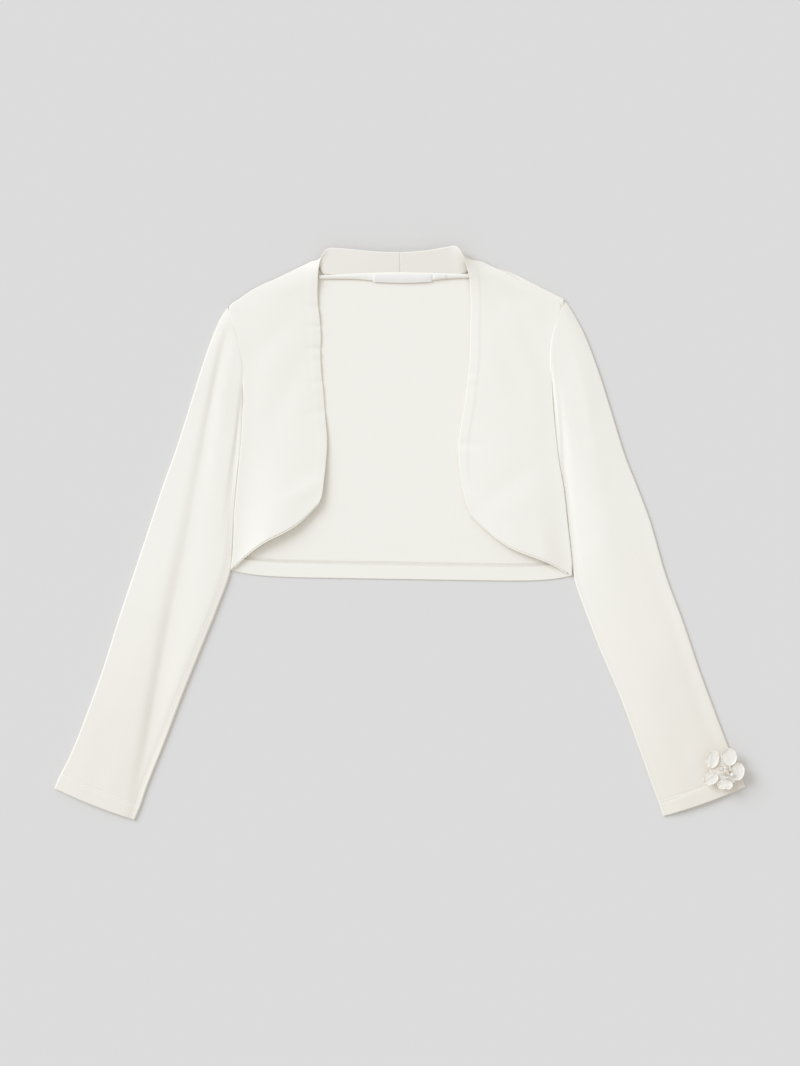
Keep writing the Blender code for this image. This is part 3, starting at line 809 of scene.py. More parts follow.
def add_facing(side):
    """The facing of one front, which curls up to meet it along the free edge."""
    starts = [read_soft(FACING_STARTS, t, START_SPREAD)[0] for t in FRONT_PLACES]
    points = np.array([front_row(side, start + (1 - start) * FACING_SHARES, t)
                       for start, t in zip(starts, FRONT_PLACES)])
    up = facing_up(points)
    points[..., 2] += waves(points, SLOW_WAVES) * lying(FRONT_PLACES)
    points = pinched(side, points)
    across = run_length(points, 1)
    curl = 1 - quarter((across[:, -1:] - across) / EDGE_CURL)
    points -= up * (FACING_GAP * (1 - 0.5 * curl))[..., None]
    outwards = unit(points[0] - points[HEM_ROWS])
    rim = [points[0] + outwards * reach + (0, 0, PEEP_CURL * (reach / PEEP[0]) ** 2) for reach in PEEP]
    points = np.concatenate((rim, points))
    knit = front_knit(points)
    return add_cloth(f"facing_{side}_cloth", f"facing_{side}", points, knit, CLOTH, ivory_jersey)


facings = {side: add_facing(side) for side in SIDES}

# %% [markdown]
# ## The back
# The back lies flat, inside up, and shows between the fronts and below their curved hems. At its
# foot the cloth is turned up 15 mm and held by a two-needle stitch, whose looper thread covers
# the cut edge. That hem is the panel's own cloth: the grid goes on, folds over and lies back on
# itself. Over the left shoulder the back wraps to the front, where its seam shows.

# %% Shape of the back
BACK_TOP = table("x y wrap", (
    (-171.0, 225.0, 0), (-157.0, 237.0, 0), (-144.0, 245.0, 0), (-123.5, 254.6, 0),
    (-106.0, 263.0, 0), (-94.0, 268.4, 0), (-86.0, 270.6, 0), (-75.0, 258.0, 0),
    (-48.0, 258.2, 0), (-24.0, 259.4, 0), (0.0, 259.9, 0), (25.0, 259.2, 0), (52.0, 258.2, 0),
    (66.0, 259.4, 0), (74.0, 269.6, 0), (82.0, 270.6, 0), (94.0, 266.4, 0), (111.0, 260.6, 1.4),
    (122.0, 255.4, 2.7), (133.0, 250.0, 3.8), (145.0, 243.8, 4.4), (155.0, 238.8, 4.8),
    (162.3, 235.2, 5.0),
))
BACK_RIGHT_END = 11                 # the row of the right front where its armhole ends
BACK_LEFT_END = 12                  # the same row of the left front
BACK_HEM_DROP = 6.5                 # the hem hangs below its own corners
BACK_RISE = 3                       # power by which the top curve dies out down the back
BACK_FLAT_END = 0.97                # beyond this share of its length the back nears its top edge
FOLD_RADIUS = 1.2                   # of the fold over the left shoulder
WRAP_UNDER = 2.2                    # its wrapped edge reaches this far under the front
WRAP_WHOLE = 3.0                    # a wrap narrower than this is folded with a smaller radius
BACK_WALL = 0.6
BACK_LYING = 0.32                   # middle of the back's cloth above the surface
HEM_TURN = 15.5                     # how far the hem is turned up
HEM_FOLD = 0.31                     # radius of the fold at the hem's foot
BACK_WAVES = ((0.2, 70, 1.3), (0.1, 30, 4.2))       # heights, sizes and seeds of its slow waves
BACK_WAVES_LEVEL = 0.15             # the height that they swing about
BACK_WAVES_FROM = (20, 60)          # millimetres from the hem over which they begin
NEAR_TOP = (0.90, BACK_FLAT_END)    # shares of its length over which they end again
SIDE_RISE = 2.4                     # its side seams come up to meet the fronts
SIDE_RISE_WIDTH = 5.0
SIDE_RISE_END = (0.6, 0.9)          # which dies out between these shares of its length
SHOULDER_REACH = (1.7, -1.1)        # its left end slips this far under the sleeve's cap
SHOULDER_REACH_WIDTH = 4.0
print("the back's top edge is drawn through", len(BACK_TOP), "places")

# %% The back's cloth
def back_plan(top, v):
    """A row of the back in plan, at share v from its hem to its top edge."""
    first, last = np.array(BACK_TOP[0][:2]), np.array(BACK_TOP[-1][:2])
    share = (top[:, :1] - first[0]) / (last[0] - first[0])
    right = read(RIGHT_ROWS, v * BACK_RIGHT_END)[:2]
    left = read(LEFT_ROWS, v * BACK_LEFT_END)[:2]
    left = left + (last - np.array(LEFT_ROWS[BACK_LEFT_END][:2])) * v ** 8
    rise = top[:, :2] - first - (last - first) * share
    plan = right + (left - right) * share + rise * v ** BACK_RISE
    plan[:, 1] -= BACK_HEM_DROP * (1 - np.abs(2 * share[:, 0] - 1) ** 8) * (1 - v) ** 4
    return plan


def back_row(top, v):
    """A row of the back, lying flat, or near its top edge folding over the left shoulder."""
    if v <= BACK_FLAT_END:
        return np.column_stack((back_plan(top, v), np.full(len(top), BACK_LYING)))
    edge = back_plan(top, 1)
    inwards = back_plan(top, BACK_FLAT_END) - edge
    reach = np.linalg.norm(inwards, axis=1)
    wrap = np.maximum(top[:, 2], 0)
    radius = FOLD_RADIUS * np.minimum(wrap / WRAP_WHOLE, 1) + 1e-6
    flat = reach - radius
    share = (v - BACK_FLAT_END) / (1 - BACK_FLAT_END)
    under = WRAP_UNDER * np.minimum(wrap / WRAP_WHOLE, 1)
    path = share * (flat + pi * radius + np.maximum(wrap - radius, 0) + under)
    angle = np.clip((path - flat) / radius, 0, pi)
    inside = np.where(path <= flat, reach - path, radius * (1 - np.sin(angle)))
    inside = np.where(path > flat + pi * radius, radius + path - flat - pi * radius, inside)
    place = edge + inwards / reach[:, None] * inside[:, None]
    return np.column_stack((place, BACK_LYING + radius * (1 - np.cos(angle))))


def add_back():
    """The back panel with its turned hem."""
    columns = (len(BACK_TOP) - 1) * both_ends(150)
    top = np.array([read(BACK_TOP, k) for k in columns])
    shares = runs((0, 0.004, 4), (0.004, 0.075, 44), (0.075, BACK_FLAT_END, 84), (BACK_FLAT_END, 1, 26))
    points = np.array([back_row(top, v) for v in shares])
    shares = np.array(shares)[:, None]
    swing = ramp(run_length(points, 0), *BACK_WAVES_FROM) * (1 - ramp(shares, *NEAR_TOP))
    points[..., 2] += swing * waves(points, BACK_WAVES, BACK_WAVES_LEVEL)
    across = run_length(points, 1)
    from_left = across[:, -1:] - across
    side = 1 - quarter(np.minimum(across, from_left) / SIDE_RISE_WIDTH)
    points[..., 2] += SIDE_RISE * side * (1 - ramp(shares, *SIDE_RISE_END))
    slip = (1 - quarter(from_left / SHOULDER_REACH_WIDTH)) * ramp(shares, *NEAR_TOP)
    points[..., :2] += slip[..., None] * SHOULDER_REACH
    hemmed = turned_hem(points[::-1], np.zeros_like(points) + (0, 0, 1), HEM_TURN, HEM_FOLD)
    knit = np.stack((hemmed[..., 0], run_length(hemmed, 0)), axis=-1)
    return add_cloth("back_cloth", "back", hemmed, knit, BACK_WALL, ivory_jersey), points


back, back_points = add_back()

# %% [markdown]
# ## The sleeves
# A sleeve is one panel sewn into a tube along the underarm and laid flat, so its grid runs right
# round: over the upper layer, round the outer fold and back below. The long soft folds run down
# it, as uneven as in a sleeve that has been smoothed by hand. Each one is a small table: where it
# starts and ends, and how wide and deep it is on the way. At the cuff the cloth is turned inside.

# %% Shape of the sleeves
SLEEVE_RIGHT = table("outer_x outer_y inner_x inner_y", (
    (-173.0, 225.5, -157.6, 139.0),
    (-182.0, 210.0, -158.5, 119.0),
    (-194.0, 179.0, -160.6, 86.0),
    (-207.0, 138.0, -163.6, 58.0),
    (-221.0, 93.0, -166.8, 21.0),
    (-237.0, 48.0, -168.4, -15.0),
    (-252.0, 3.0, -170.8, -38.0),
    (-267.0, -42.0, -181.5, -71.0),
    (-282.0, -87.0, -199.5, -116.0),
    (-296.0, -132.0, -217.2, -160.0),
    (-312.0, -177.0, -235.0, -207.0),
    (-329.0, -220.0, -252.5, -251.0),
    (-340.5, -243.0, -260.0, -273.0),
    (-345.8, -255.2, -265.8, -286.7),
))
SLEEVE_LEFT = table("outer_x outer_y inner_x inner_y", (
    (164.0, 233.5, 153.2, 147.0),
    (171.0, 224.0, 154.4, 129.0),
    (185.0, 198.0, 156.8, 101.0),
    (199.0, 161.0, 160.6, 70.0),
    (211.0, 123.0, 165.2, 45.0),
    (225.0, 78.0, 168.8, 13.0),
    (238.0, 45.0, 171.8, -15.0),
    (251.0, 10.0, 174.8, -45.0),
    (266.0, -42.0, 183.5, -72.0),
    (283.0, -88.0, 200.7, -117.0),
    (300.0, -138.0, 221.5, -166.0),
    (316.0, -181.0, 237.3, -209.0),
    (329.0, -215.0, 249.7, -244.0),
    (341.0, -243.0, 260.0, -272.0),
    (345.9, -253.6, 263.8, -283.0),
))
SLEEVES = {"right": SLEEVE_RIGHT, "left": SLEEVE_LEFT}
print("the sleeves are drawn through", len(SLEEVE_RIGHT), "and", len(SLEEVE_LEFT), "sections")

# %% Ends and folds of the sleeves
INWARDS = {"right": 1, "left": -1}  # the way in X from each sleeve to the body
ARMHOLE_BOW = {"right": 4.3, "left": -5.7}          # how far the armhole curves out in X
ARMHOLE_FADE = 3.0                  # rows over which its curve and its height die out
ARMHOLE_HEIGHT = {"right": 2.8, "left": 3.1}
ARMHOLE_ROLL = {"right": 14.0, "left": 12.0}        # width of its rise from the shoulder
UNDERARM_ROLL = 30.0                # and from the underarm
ARMHOLE_TUCK = {"right": 1.2, "left": 1.9}          # its edge reaches this far under the front
TUCK_DIP = 0.2                      # and this deep
TUCK_FADE = 3.5                     # width over which it does both
CUFF_BOW = 1.6                      # how far the cuff curves out
LYING = 0.45                        # middle of the lower layer above the surface
FOLD_HEIGHT = 1.0                   # height of a sleeve's fold
FOLD_ROUND = 1.2                    # width over which the fold rounds off into the upper layer
OUTER_TOP = {"right": 2.3, "left": 1.8}             # height of the upper layer at the outer fold
UNDERARM_TOP = {"right": 2.3, "left": 1.8}          # and just inside the underarm
OUTER_ROUND = 0.07                  # how softly the rise from the outer fold ends
SIDE_LAP = 0.8                      # the sleeve leans on the body's side by this much
SIDE_LAP_WIDTH = 6.0
SIDE_LAP_END = (6.2, 7.0)           # the rows between which the body's side ends

# %% Crowns and creases of the sleeves
# The upper layer's crown at some rows: its height, the share of the width it has risen by from the
# outer fold, and the width over which it falls to the underarm.
CROWNS = {
    "right": table("row height ridge inner_wide", (
        (0, 2.9, 0.35, 10), (2, 3.4, 0.35, 8), (6, 3.6, 0.35, 9), (10, 3.6, 0.35, 9), (13, 3.4, 0.3, 8))),
    "left": table("row height ridge inner_wide", (
        (0, 3.1, 0.15, 14), (1.5, 3.5, 0.20, 20), (3, 4.2, 0.30, 24), (4, 4.8, 0.40, 28),
        (6, 5.4, 0.50, 30), (8, 5.5, 0.55, 30), (9.5, 5.4, 0.55, 28), (11, 4.9, 0.50, 28),
        (12.5, 4.2, 0.34, 26), (14, 3.6, 0.3, 16))),
}

# The long creases of each sleeve's upper layer: at some rows, the share of the width where the
# crease is deepest (0 at the outer fold, 1 at the underarm), how wide its two sides are and how
# deep it is. A depth below 0 is a ridge.
CREASES = {
    "right": [table("row share outer_wide inner_wide deep", crease) for crease in (
        ((0, 0.16, 8, 16, 0.0), (1, 0.20, 7, 16, 0.7), (2, 0.26, 7, 14, 1.3), (3, 0.34, 7, 14, 1.5),
         (4, 0.38, 8, 16, 1.3), (5, 0.42, 8, 18, 1.2), (6, 0.46, 8, 18, 1.6), (7, 0.50, 8, 20, 1.8),
         (8, 0.59, 7, 20, 2.1), (9, 0.68, 7, 18, 2.3), (10, 0.79, 7, 16, 2.2), (11, 0.91, 7, 12, 1.4),
         (12, 0.93, 7, 10, 0.9), (13, 0.95, 7, 10, 0.5)),
        ((0.8, 0.88, 5, 5, 0.0), (2, 0.90, 5, 5, 1.1), (3, 0.92, 5, 5, 1.2), (4, 0.90, 5, 5, 0.5),
         (5.5, 0.90, 5, 5, 0.0)),
        ((8.5, 0.30, 14, 14, 0.0), (10.5, 0.34, 14, 14, 0.5), (12, 0.40, 12, 12, 0.4), (13, 0.4, 12, 12, 0)),
    )],
    "left": [table("row share outer_wide inner_wide deep", crease) for crease in (
        ((7, 0.10, 6, 8, 0.0), (9, 0.12, 6, 8, 0.4), (11, 0.14, 6, 8, 0.5), (12.5, 0.16, 6, 8, 0.3),
         (14, 0.2, 8, 8, 0.0)),
        ((1, 0.72, 10, 8, 0.0), (2, 0.80, 10, 7, 0.7), (3.5, 0.96, 9, 6, 1.0), (5, 0.98, 7, 5, 0.7),
         (7, 0.98, 7, 5, 0.2), (8, 1.0, 7, 5, 0.0)),
        ((5, 0.74, 16, 12, 0.0), (7, 0.72, 16, 14, 0.5), (9, 0.62, 20, 16, 0.8), (11, 0.55, 18, 16, 0.6),
         (13, 0.5, 14, 14, 0.2), (14, 0.5, 14, 14, 0.0)),
    )],
}
for side in SIDES:
    print("the", side, "sleeve has", len(CREASES[side]), "long creases")

# %% Fine lines and hems of the sleeves
CREASE_FADE = 7.0                   # width over which a crease dies out towards the two folds
UNDERARM_LINES = (3.2, 5.4)         # the underarm seam shows as two fine lines this far in
UNDERARM_LINE_DEPTH = 0.16
UNDERARM_LINE_WIDTH = 0.6
UNDERARM_LINE_ROWS = (1, 3)         # the rows between which they begin
CUFF_TURN = 14.0                    # how far the cuff's hem is turned in
CUFF_FOLD = 0.45                    # radius of the fold at its foot
CUFF_LINES = (13.0, 15.4)           # the two needle lines, this far up from the cuff
CUFF_LINE_DEPTH = 0.28
CUFF_LINE_WIDTH = 0.8
CUFF_RIDGE = 0.15                   # height and width of the ridge between the two
CUFF_RIDGE_WIDTH = 0.7
CUFF_GATHER = (0.12, 5, 8.8)        # height, size and seed of the ripple that the needles leave
CUFF_GATHER_WIDTH = 5.0
LINE_ENDS = 0.3                     # power by which those lines die out at the two folds
SLEEVE_WAVES = ((0.28, 48, 5.5), (0.12, 20, 2.2))   # heights, sizes and seeds of its slow waves
print("the needle lines lie", CUFF_LINES, "mm up from the cuffs")

# %% The sleeves' cloth
UPPER_STEPS = 84                    # steps round the sleeve: over the upper layer, then below
LOWER_STEPS = 46
UPPER_MIDDLE = 30                   # a column well inside the upper layer


def sleeve_row(side, q, t):
    """A sleeve's row: q runs over the upper layer from the underarm, and back below from 0.5."""
    rows = SLEEVES[side]
    outer_x, outer_y, inner_x, inner_y = read(rows, t)
    share = (1 + np.cos(2 * pi * q)) / 2
    swell = np.sin(pi * share)
    x = outer_x + (inner_x - outer_x) * share + ARMHOLE_BOW[side] * swell * max(1 - t / ARMHOLE_FADE, 0)
    y = outer_y + (inner_y - outer_y) * share - CUFF_BOW * swell * max(t - len(rows) + 3, 0) / 2
    width = np.hypot(inner_x - outer_x, inner_y - outer_y)
    inside = np.minimum(share, 1 - share) * width
    crown, ridge, inner_wide = read_soft(CROWNS[side], t)
    top = OUTER_TOP[side] + (crown - OUTER_TOP[side]) * bounded(share / ridge, OUTER_ROUND)
    top -= (crown - UNDERARM_TOP[side]) * (1 - bounded((1 - share) * width / inner_wide))
    above = FOLD_HEIGHT + (top - FOLD_HEIGHT) * quarter(inside / FOLD_ROUND)
    rise = dome(share * width / ARMHOLE_ROLL[side]) * dome((1 - share) * width / UNDERARM_ROLL)
    at_armhole = FOLD_HEIGHT + (ARMHOLE_HEIGHT[side] - FOLD_HEIGHT) * rise
    above += (at_armhole - above) * (1 - ramp(t, 0, ARMHOLE_FADE))
    for crease in CREASES[side]:
        place, outer_wide, inner_wide, deep = read_soft(crease, t)
        wide = np.where(share < place, outer_wide, inner_wide)
        above -= deep * hill((share - place) * width, wide) * dome(inside / CREASE_FADE)
    for line in UNDERARM_LINES:
        groove = UNDERARM_LINE_DEPTH * hill((1 - share) * width - line, UNDERARM_LINE_WIDTH)
        above -= groove * ramp(t, *UNDERARM_LINE_ROWS)
    depth = FOLD_HEIGHT - LYING
    below = FOLD_HEIGHT - depth * quarter(inside / depth)
    lean = INWARDS[side] * SIDE_LAP * (1 - ramp(t, *SIDE_LAP_END))
    x = x + lean * dome((share * width - width + SIDE_LAP_WIDTH) / SIDE_LAP_WIDTH)
    return np.stack((x, y, np.where(q <= 0.5, above, below)), axis=-1)


def add_sleeve(side):
    """One sleeve: tucked under the front at the armhole, hemmed with two needles at the cuff."""
    last = len(SLEEVES[side]) - 1
    around = np.concatenate((0.5 * even(UPPER_STEPS), 0.5 + 0.5 * even(LOWER_STEPS)[1:]))
    places = runs((0, 0.12, 6), (0.12, last - 1.6, 176), (last - 1.6, last - 0.25, 44),
                  (last - 0.25, last, 10))
    points = np.array([sleeve_row(side, around, t) for t in places])
    upper = (around <= 0.5)
    soft = np.sin(2 * pi * np.minimum(around, 0.5)) * upper
    points[..., 2] += soft * waves(points, SLEEVE_WAVES)
    to_cuff = run_length(points[::-1], 0)[::-1]
    gather = waves(points, [CUFF_GATHER]) * hill(to_cuff - CUFF_LINES[0], CUFF_GATHER_WIDTH)
    fade = soft ** LINE_ENDS
    for line in CUFF_LINES:
        groove = CUFF_LINE_DEPTH * hill(to_cuff - line, CUFF_LINE_WIDTH)
        points[..., 2] -= fade * groove * (1 + gather)
    ridge = CUFF_RIDGE * hill(to_cuff - sum(CUFF_LINES) / 2, CUFF_RIDGE_WIDTH)
    points[..., 2] += fade * (ridge + gather)
    tuck = 1 - quarter(run_length(points, 0) / TUCK_FADE)
    points[..., 2] -= TUCK_DIP * tuck * upper
    points[..., 0] += INWARDS[side] * ARMHOLE_TUCK[side] * tuck * upper
    out = looks(points)
    out *= np.sign(out[len(places) // 2, UPPER_MIDDLE, 2])
    hemmed = turned_hem(points, -out, CUFF_TURN, CUFF_FOLD)
    hemmed[:, -1] = hemmed[:, 0]
    knit = woven(hemmed)[..., ::-1]
    name = f"sleeve_{side}"
    piece = add_cloth(f"{name}_cloth", name, hemmed, knit, CLOTH, ivory_jersey, closed=True)
    return piece, points


sleeves, sleeve_points = {}, {}
for side in SIDES:
    sleeves[side], sleeve_points[side] = add_sleeve(side)

# %% [markdown]
# ## Neck tape and labels
# The tape covers the seam between collar and back, inside the neck. It swells where the seam
# lies under it. The woven label and the size tab are sewn on with it, and both stay bare. They
# are made from the tape's own points, moved out. The label's two ends are folded under, so its
# corners tuck down.

# %% Neck tape and labels
TAPE_ROWS = table("x top_y foot_y", (
    (-81.5, 256.9, 254.4), (-62.0, 257.6, 254.6), (-43.0, 258.9, 254.3), (-24.0, 259.7, 252.6),
    (2.0, 260.2, 252.0), (28.0, 259.7, 252.6), (47.0, 258.9, 254.8), (70.0, 258.4, 255.6),
))
TAPE_TOP = 2.7                      # heights of the tape's top edge, its crest and its foot
TAPE_CREST = 0.7
TAPE_FOOT = 1.6
TAPE_TUCK = 0.9                     # how far its top reaches under the collar's foot
TAPE_FULL = 0.7                     # power of its crest: below 1, the tape is fuller than an arch
TAPE_PUCKER = (0.12, 6, 2.0)        # height, size and seed of the ripple along its stitching
TAPE_WALL = 0.7
LABEL_WALL = 0.4
LABEL_LIFT = 0.75                   # the labels lie this far out from the tape's own points
LABEL_END_DIP = 0.8                 # their folded ends dip by this much, over this width
LABEL_END_WIDTH = 2.4
LABEL_WAVE = 0.12                   # height of the slow wave along a label's foot
LABEL_WAVE_SIZE = 7.0
LABELS = table("name left right high low", (
    ("label", -26.5, 32.0, 0.18, 1.14),
    ("size_tab", 32.8, 47.0, 0.24, 0.82),
))


def tape_points(places, down):
    """Points of the neck tape, at places along its table and at shares down from its top."""
    rows = np.array([read(TAPE_ROWS, k) for k in places])
    x, top_y, foot_y = (rows[:, i:i + 1] for i in range(3))
    top_y = top_y + TAPE_TUCK
    crest = TAPE_CREST * np.sin(pi * np.clip(down, 0, 1)) ** TAPE_FULL
    height = TAPE_TOP + (TAPE_FOOT - TAPE_TOP) * down + crest
    return np.stack(np.broadcast_arrays(x, top_y + (foot_y - top_y) * down, height), axis=-1)


def add_tape():
    """The tape over the back neck seam, slightly puckered where it is stitched."""
    points = tape_points((len(TAPE_ROWS) - 1) * even(150), both_ends(16))
    points[..., 2] += waves(points, [TAPE_PUCKER])
    return add_cloth("neck_tape_cloth", "neck_tape", points, woven(points), TAPE_WALL, pale_jersey)


def add_label(row):
    """A bare woven label on the tape, its ends folded under."""
    x = row.left + (row.right - row.left) * both_ends(70)
    places = np.interp(x, [tape.x for tape in TAPE_ROWS], range(len(TAPE_ROWS)))
    points = tape_points(places, row.high + (row.low - row.high) * both_ends(24))
    points += facing_up(points) * LABEL_LIFT
    from_end = np.minimum(x - row.left, row.right - x)[:, None]
    points[..., 2] -= LABEL_END_DIP * (1 - quarter(from_end / LABEL_END_WIDTH))
    points[..., 2] += LABEL_WAVE * np.sin(x / LABEL_WAVE_SIZE)[:, None] * both_ends(24)
    name = f"{row.name}_cloth"
    return add_cloth(name, row.name, points, woven(points), LABEL_WALL, label_satin)


tape = add_tape()
labels = [add_label(row) for row in LABELS]

# %% [markdown]
# ## The flower
# A fabric flower sits on the left cuff: a round base, five satin petals and a few beads. Each
# petal is a grid whose square is drawn in to a disc, so its rim is round and its threads run
# straight. It lies low where it is sewn on, cups upwards to a raised rim and waves a little. One
# petal has a notch in its end.

# %% Petals and base
FLOWER_X = 325.2
FLOWER_Y = -237.7
FLOWER_BASE_X = 324.0
FLOWER_BASE_Y = -238.5
FLOWER_BASE_RADIUS = 14.6
FLOWER_BASE_HEIGHT = 8.8
FLOWER_BASE_WAVE = 0.15             # its rim waves by this much, nine times round
PETAL_HEIGHT = 9.9
PETAL_WALL = 0.45
PETAL_FREE = (3.0, 12.0)            # a petal comes free between these distances from the middle
PETAL_SEWN = 0.15                   # share of its shape that shows where it is sewn down
PETAL_CUP = 2.2                     # power by which it cups upwards to its rim
PETAL_WAVES = ((0.35, 3), (0.2, 2))                     # its rim's waves: height and power
PETAL_ROLLS = ((0.12, 0.90, 0.10), (-0.10, 0.66, 0.12))     # its rolled rim: height, place, width
PETAL_FOLDS = ((0.30, 0.35, 0.30), (-0.12, -0.10, 0.30))    # its long folds: the same
PETAL_SLANT = 0.3                   # and how far they slant
NOTCH_WIDTH = 0.35
PETALS = table("x y long wide turn cup notch", (
    (312.0, -226.3, 18.2, 13.4, 72, 0.8, 0.0),
    (328.6, -223.8, 17.6, 16.2, 100, 1.1, 0.0),
    (337.6, -238.4, 17.6, 13.4, 82, 1.0, 0.0),
    (324.6, -251.6, 15.6, 11.2, 178, 0.8, 1.6),
    (310.6, -245.4, 15.8, 12.2, 22, 0.8, 0.0),
))


def disc(steps):
    """A square grid drawn in to the unit disc."""
    p, q = np.meshgrid(2 * even(steps) - 1, 2 * even(steps) - 1)
    return p * np.sqrt(1 - q * q / 2), q * np.sqrt(1 - p * p / 2)


def petal_points(row):
    """A petal: low at the flower's middle, cupped to a raised and waved rim."""
    x, y = disc(40)
    rim = x * x + y * y
    angle = np.arctan2(y, x)
    long, wide = x * row.long / 2, y * row.wide / 2
    wide = wide - row.notch * np.maximum(y, 0) * hill(x, NOTCH_WIDTH)
    turn = radians(row.turn)
    place_x = row.x + long * cos(turn) - wide * sin(turn)
    place_y = row.y + long * sin(turn) + wide * cos(turn)
    free = ramp(np.hypot(place_x - FLOWER_X, place_y - FLOWER_Y), *PETAL_FREE)
    (slow, slow_power), (quick, quick_power) = PETAL_WAVES
    wave = slow * rim ** slow_power * np.sin(4 * angle + row.turn)
    wave = wave + quick * rim ** quick_power * np.sin(9 * angle)
    roll = sum(high * hill(rim - place, wide) for high, place, wide in PETAL_ROLLS)
    fold = sum(high * hill(y - place - PETAL_SLANT * x, wide) for high, place, wide in PETAL_FOLDS)
    shape = row.cup * rim ** PETAL_CUP + wave + roll + fold
    height = PETAL_HEIGHT + shape * (PETAL_SEWN + (1 - PETAL_SEWN) * free)
    return np.stack((place_x, place_y, height), axis=-1)


def add_petal(number, row):
    """One satin petal."""
    points = petal_points(row)
    return add_cloth(f"petal_{number}_satin", f"flower_petal_{number}", points, points[..., :2],
                     PETAL_WALL, petal_satin)


def add_base():
    """The round cloth base that the flower is sewn on."""
    x, y = disc(30)
    height = FLOWER_BASE_HEIGHT + FLOWER_BASE_WAVE * np.sin(9 * np.arctan2(y, x)) * (x * x + y * y)
    points = np.stack((FLOWER_BASE_X + x * FLOWER_BASE_RADIUS, FLOWER_BASE_Y + y * FLOWER_BASE_RADIUS,
                       height), axis=-1)
    return add_cloth("flower_base_satin", "flower_base", points, points[..., :2], PETAL_WALL,
                     petal_satin)


petals = [add_petal(number, row) for number, row in enumerate(PETALS, 1)]
flower_base = add_base()

# %% [markdown]
# ## Beads
# The middle of the flower is a small cushion of cloth with glass stones and pearls sewn on. A
# stone is a turned crown over a point, with flat facets all round, and sits in a thin metal rim.
# It starts as a cone with ten sides, and its broad end is drawn down to the point by extrude and
# resize. A pearl is a ball, flattened a little where it is sewn down.

# %% Bead materials
def glass():
    """Clear cut glass, silvered behind."""
    w = Wiring("cut_glass")
    set_finish(w.shader, Base_Color=(0.97, 0.97, 0.97, 1), Roughness=0.08, IOR=1.65)
    set_finish(w.shader, Metallic=0.85, Coat_Weight=0.8, Coat_Roughness=0.03)
    return w.material


def pearl():
    """A soft white pearl with a faint warm tone."""
    w = Wiring("pearl")
    tone = w.noise(900.0, 2.0)
    w.join(w.tones(tone, ((0.35, (0.80, 0.76, 0.68)), (0.65, (0.88, 0.85, 0.79)))),
           w.shader.inputs["Base Color"])
    set_finish(w.shader, Roughness=0.22, Coat_Weight=0.7, Coat_Roughness=0.1)
    return w.material


def metal():
    """The thin pale gold rim of a stone."""
    w = Wiring("pale_metal")
    set_finish(w.shader, Base_Color=(0.86, 0.66, 0.36, 1), Metallic=1.0, Roughness=0.3)
    return w.material


cut_glass, pearl_white, pale_metal = glass(), pearl(), metal()
print("bead materials made")

# %% Cushion, stones and pearls
BOSS_RADIUS = 4.2
BOSS_HEIGHT = 2.6
BOSS_FLOOR = FLOWER_BASE_HEIGHT + 0.7
STONES = table("x y z radius", (
    (320.9, -235.3, 12.3, 2.2), (325.7, -234.9, 12.9, 1.35), (329.7, -236.2, 12.7, 1.45),
    (327.5, -240.2, 12.6, 1.35), (323.4, -239.0, 12.6, 1.2),
))
PEARLS = table("x y z radius", (
    (331.6, -241.4, 12.3, 2.0), (324.8, -244.6, 12.0, 1.0), (327.0, -244.2, 12.1, 1.0),
    (322.7, -243.6, 12.0, 0.95), (318.4, -239.6, 11.9, 1.1), (329.3, -232.6, 11.9, 0.9),
))

# A stone's parts as shares of its radius
STONE_FACETS = 10
STONE_TABLE = 0.55                  # radius of its flat top
STONE_CROWN = 0.45                  # height of its crown
STONE_DEPTH = 0.6                   # depth of its point below the crown
STONE_POINT = 0.15                  # radius of the point
RIM_WIRE = 0.09                     # radius of the rim's wire
RIM_DROP = 0.22                     # depth of the rim below the crown's middle
PEARL_SQUASH = 0.9                  # height of a pearl as a share of its width


def world(x, y, z):
    """A place in the tables' millimetres as metres in the frame."""
    return ((x - MIDDLE_X) * MM, (y - MIDDLE_Y) * MM, z * MM)


def pick(piece):
    """Select one piece alone and make it the active one."""
    bpy.ops.object.select_all(action="DESELECT")
    piece.select_set(True)
    bpy.context.view_layer.objects.active = piece


def settle(piece, material, node=None, smooth=True):
    """Bake a piece's place into its mesh, and dress it."""
    pick(piece)
    bpy.ops.object.transform_apply(location=True, rotation=True, scale=True)
    dress(piece, material, node)
    if smooth:
        piece.data.shade_smooth()


def add_boss():
    """The small cushion in the middle of the flower."""
    foot = world(FLOWER_X, FLOWER_Y, BOSS_FLOOR)
    boss = start_from("bead_cushion", bpy.ops.mesh.primitive_uv_sphere_add,
                      segments=32, ring_count=18, radius=1, location=foot)
    boss.scale = (BOSS_RADIUS * MM, BOSS_RADIUS * MM, BOSS_HEIGHT * MM)
    bpy.ops.object.mode_set(mode="EDIT")
    bpy.ops.mesh.select_all(action="SELECT")
    bpy.ops.mesh.bisect(plane_co=foot, plane_no=(0, 0, -1), clear_outer=True, use_fill=True)
    bpy.ops.object.mode_set(mode="OBJECT")
    settle(boss, petal_satin, "flower_centre")
    return boss


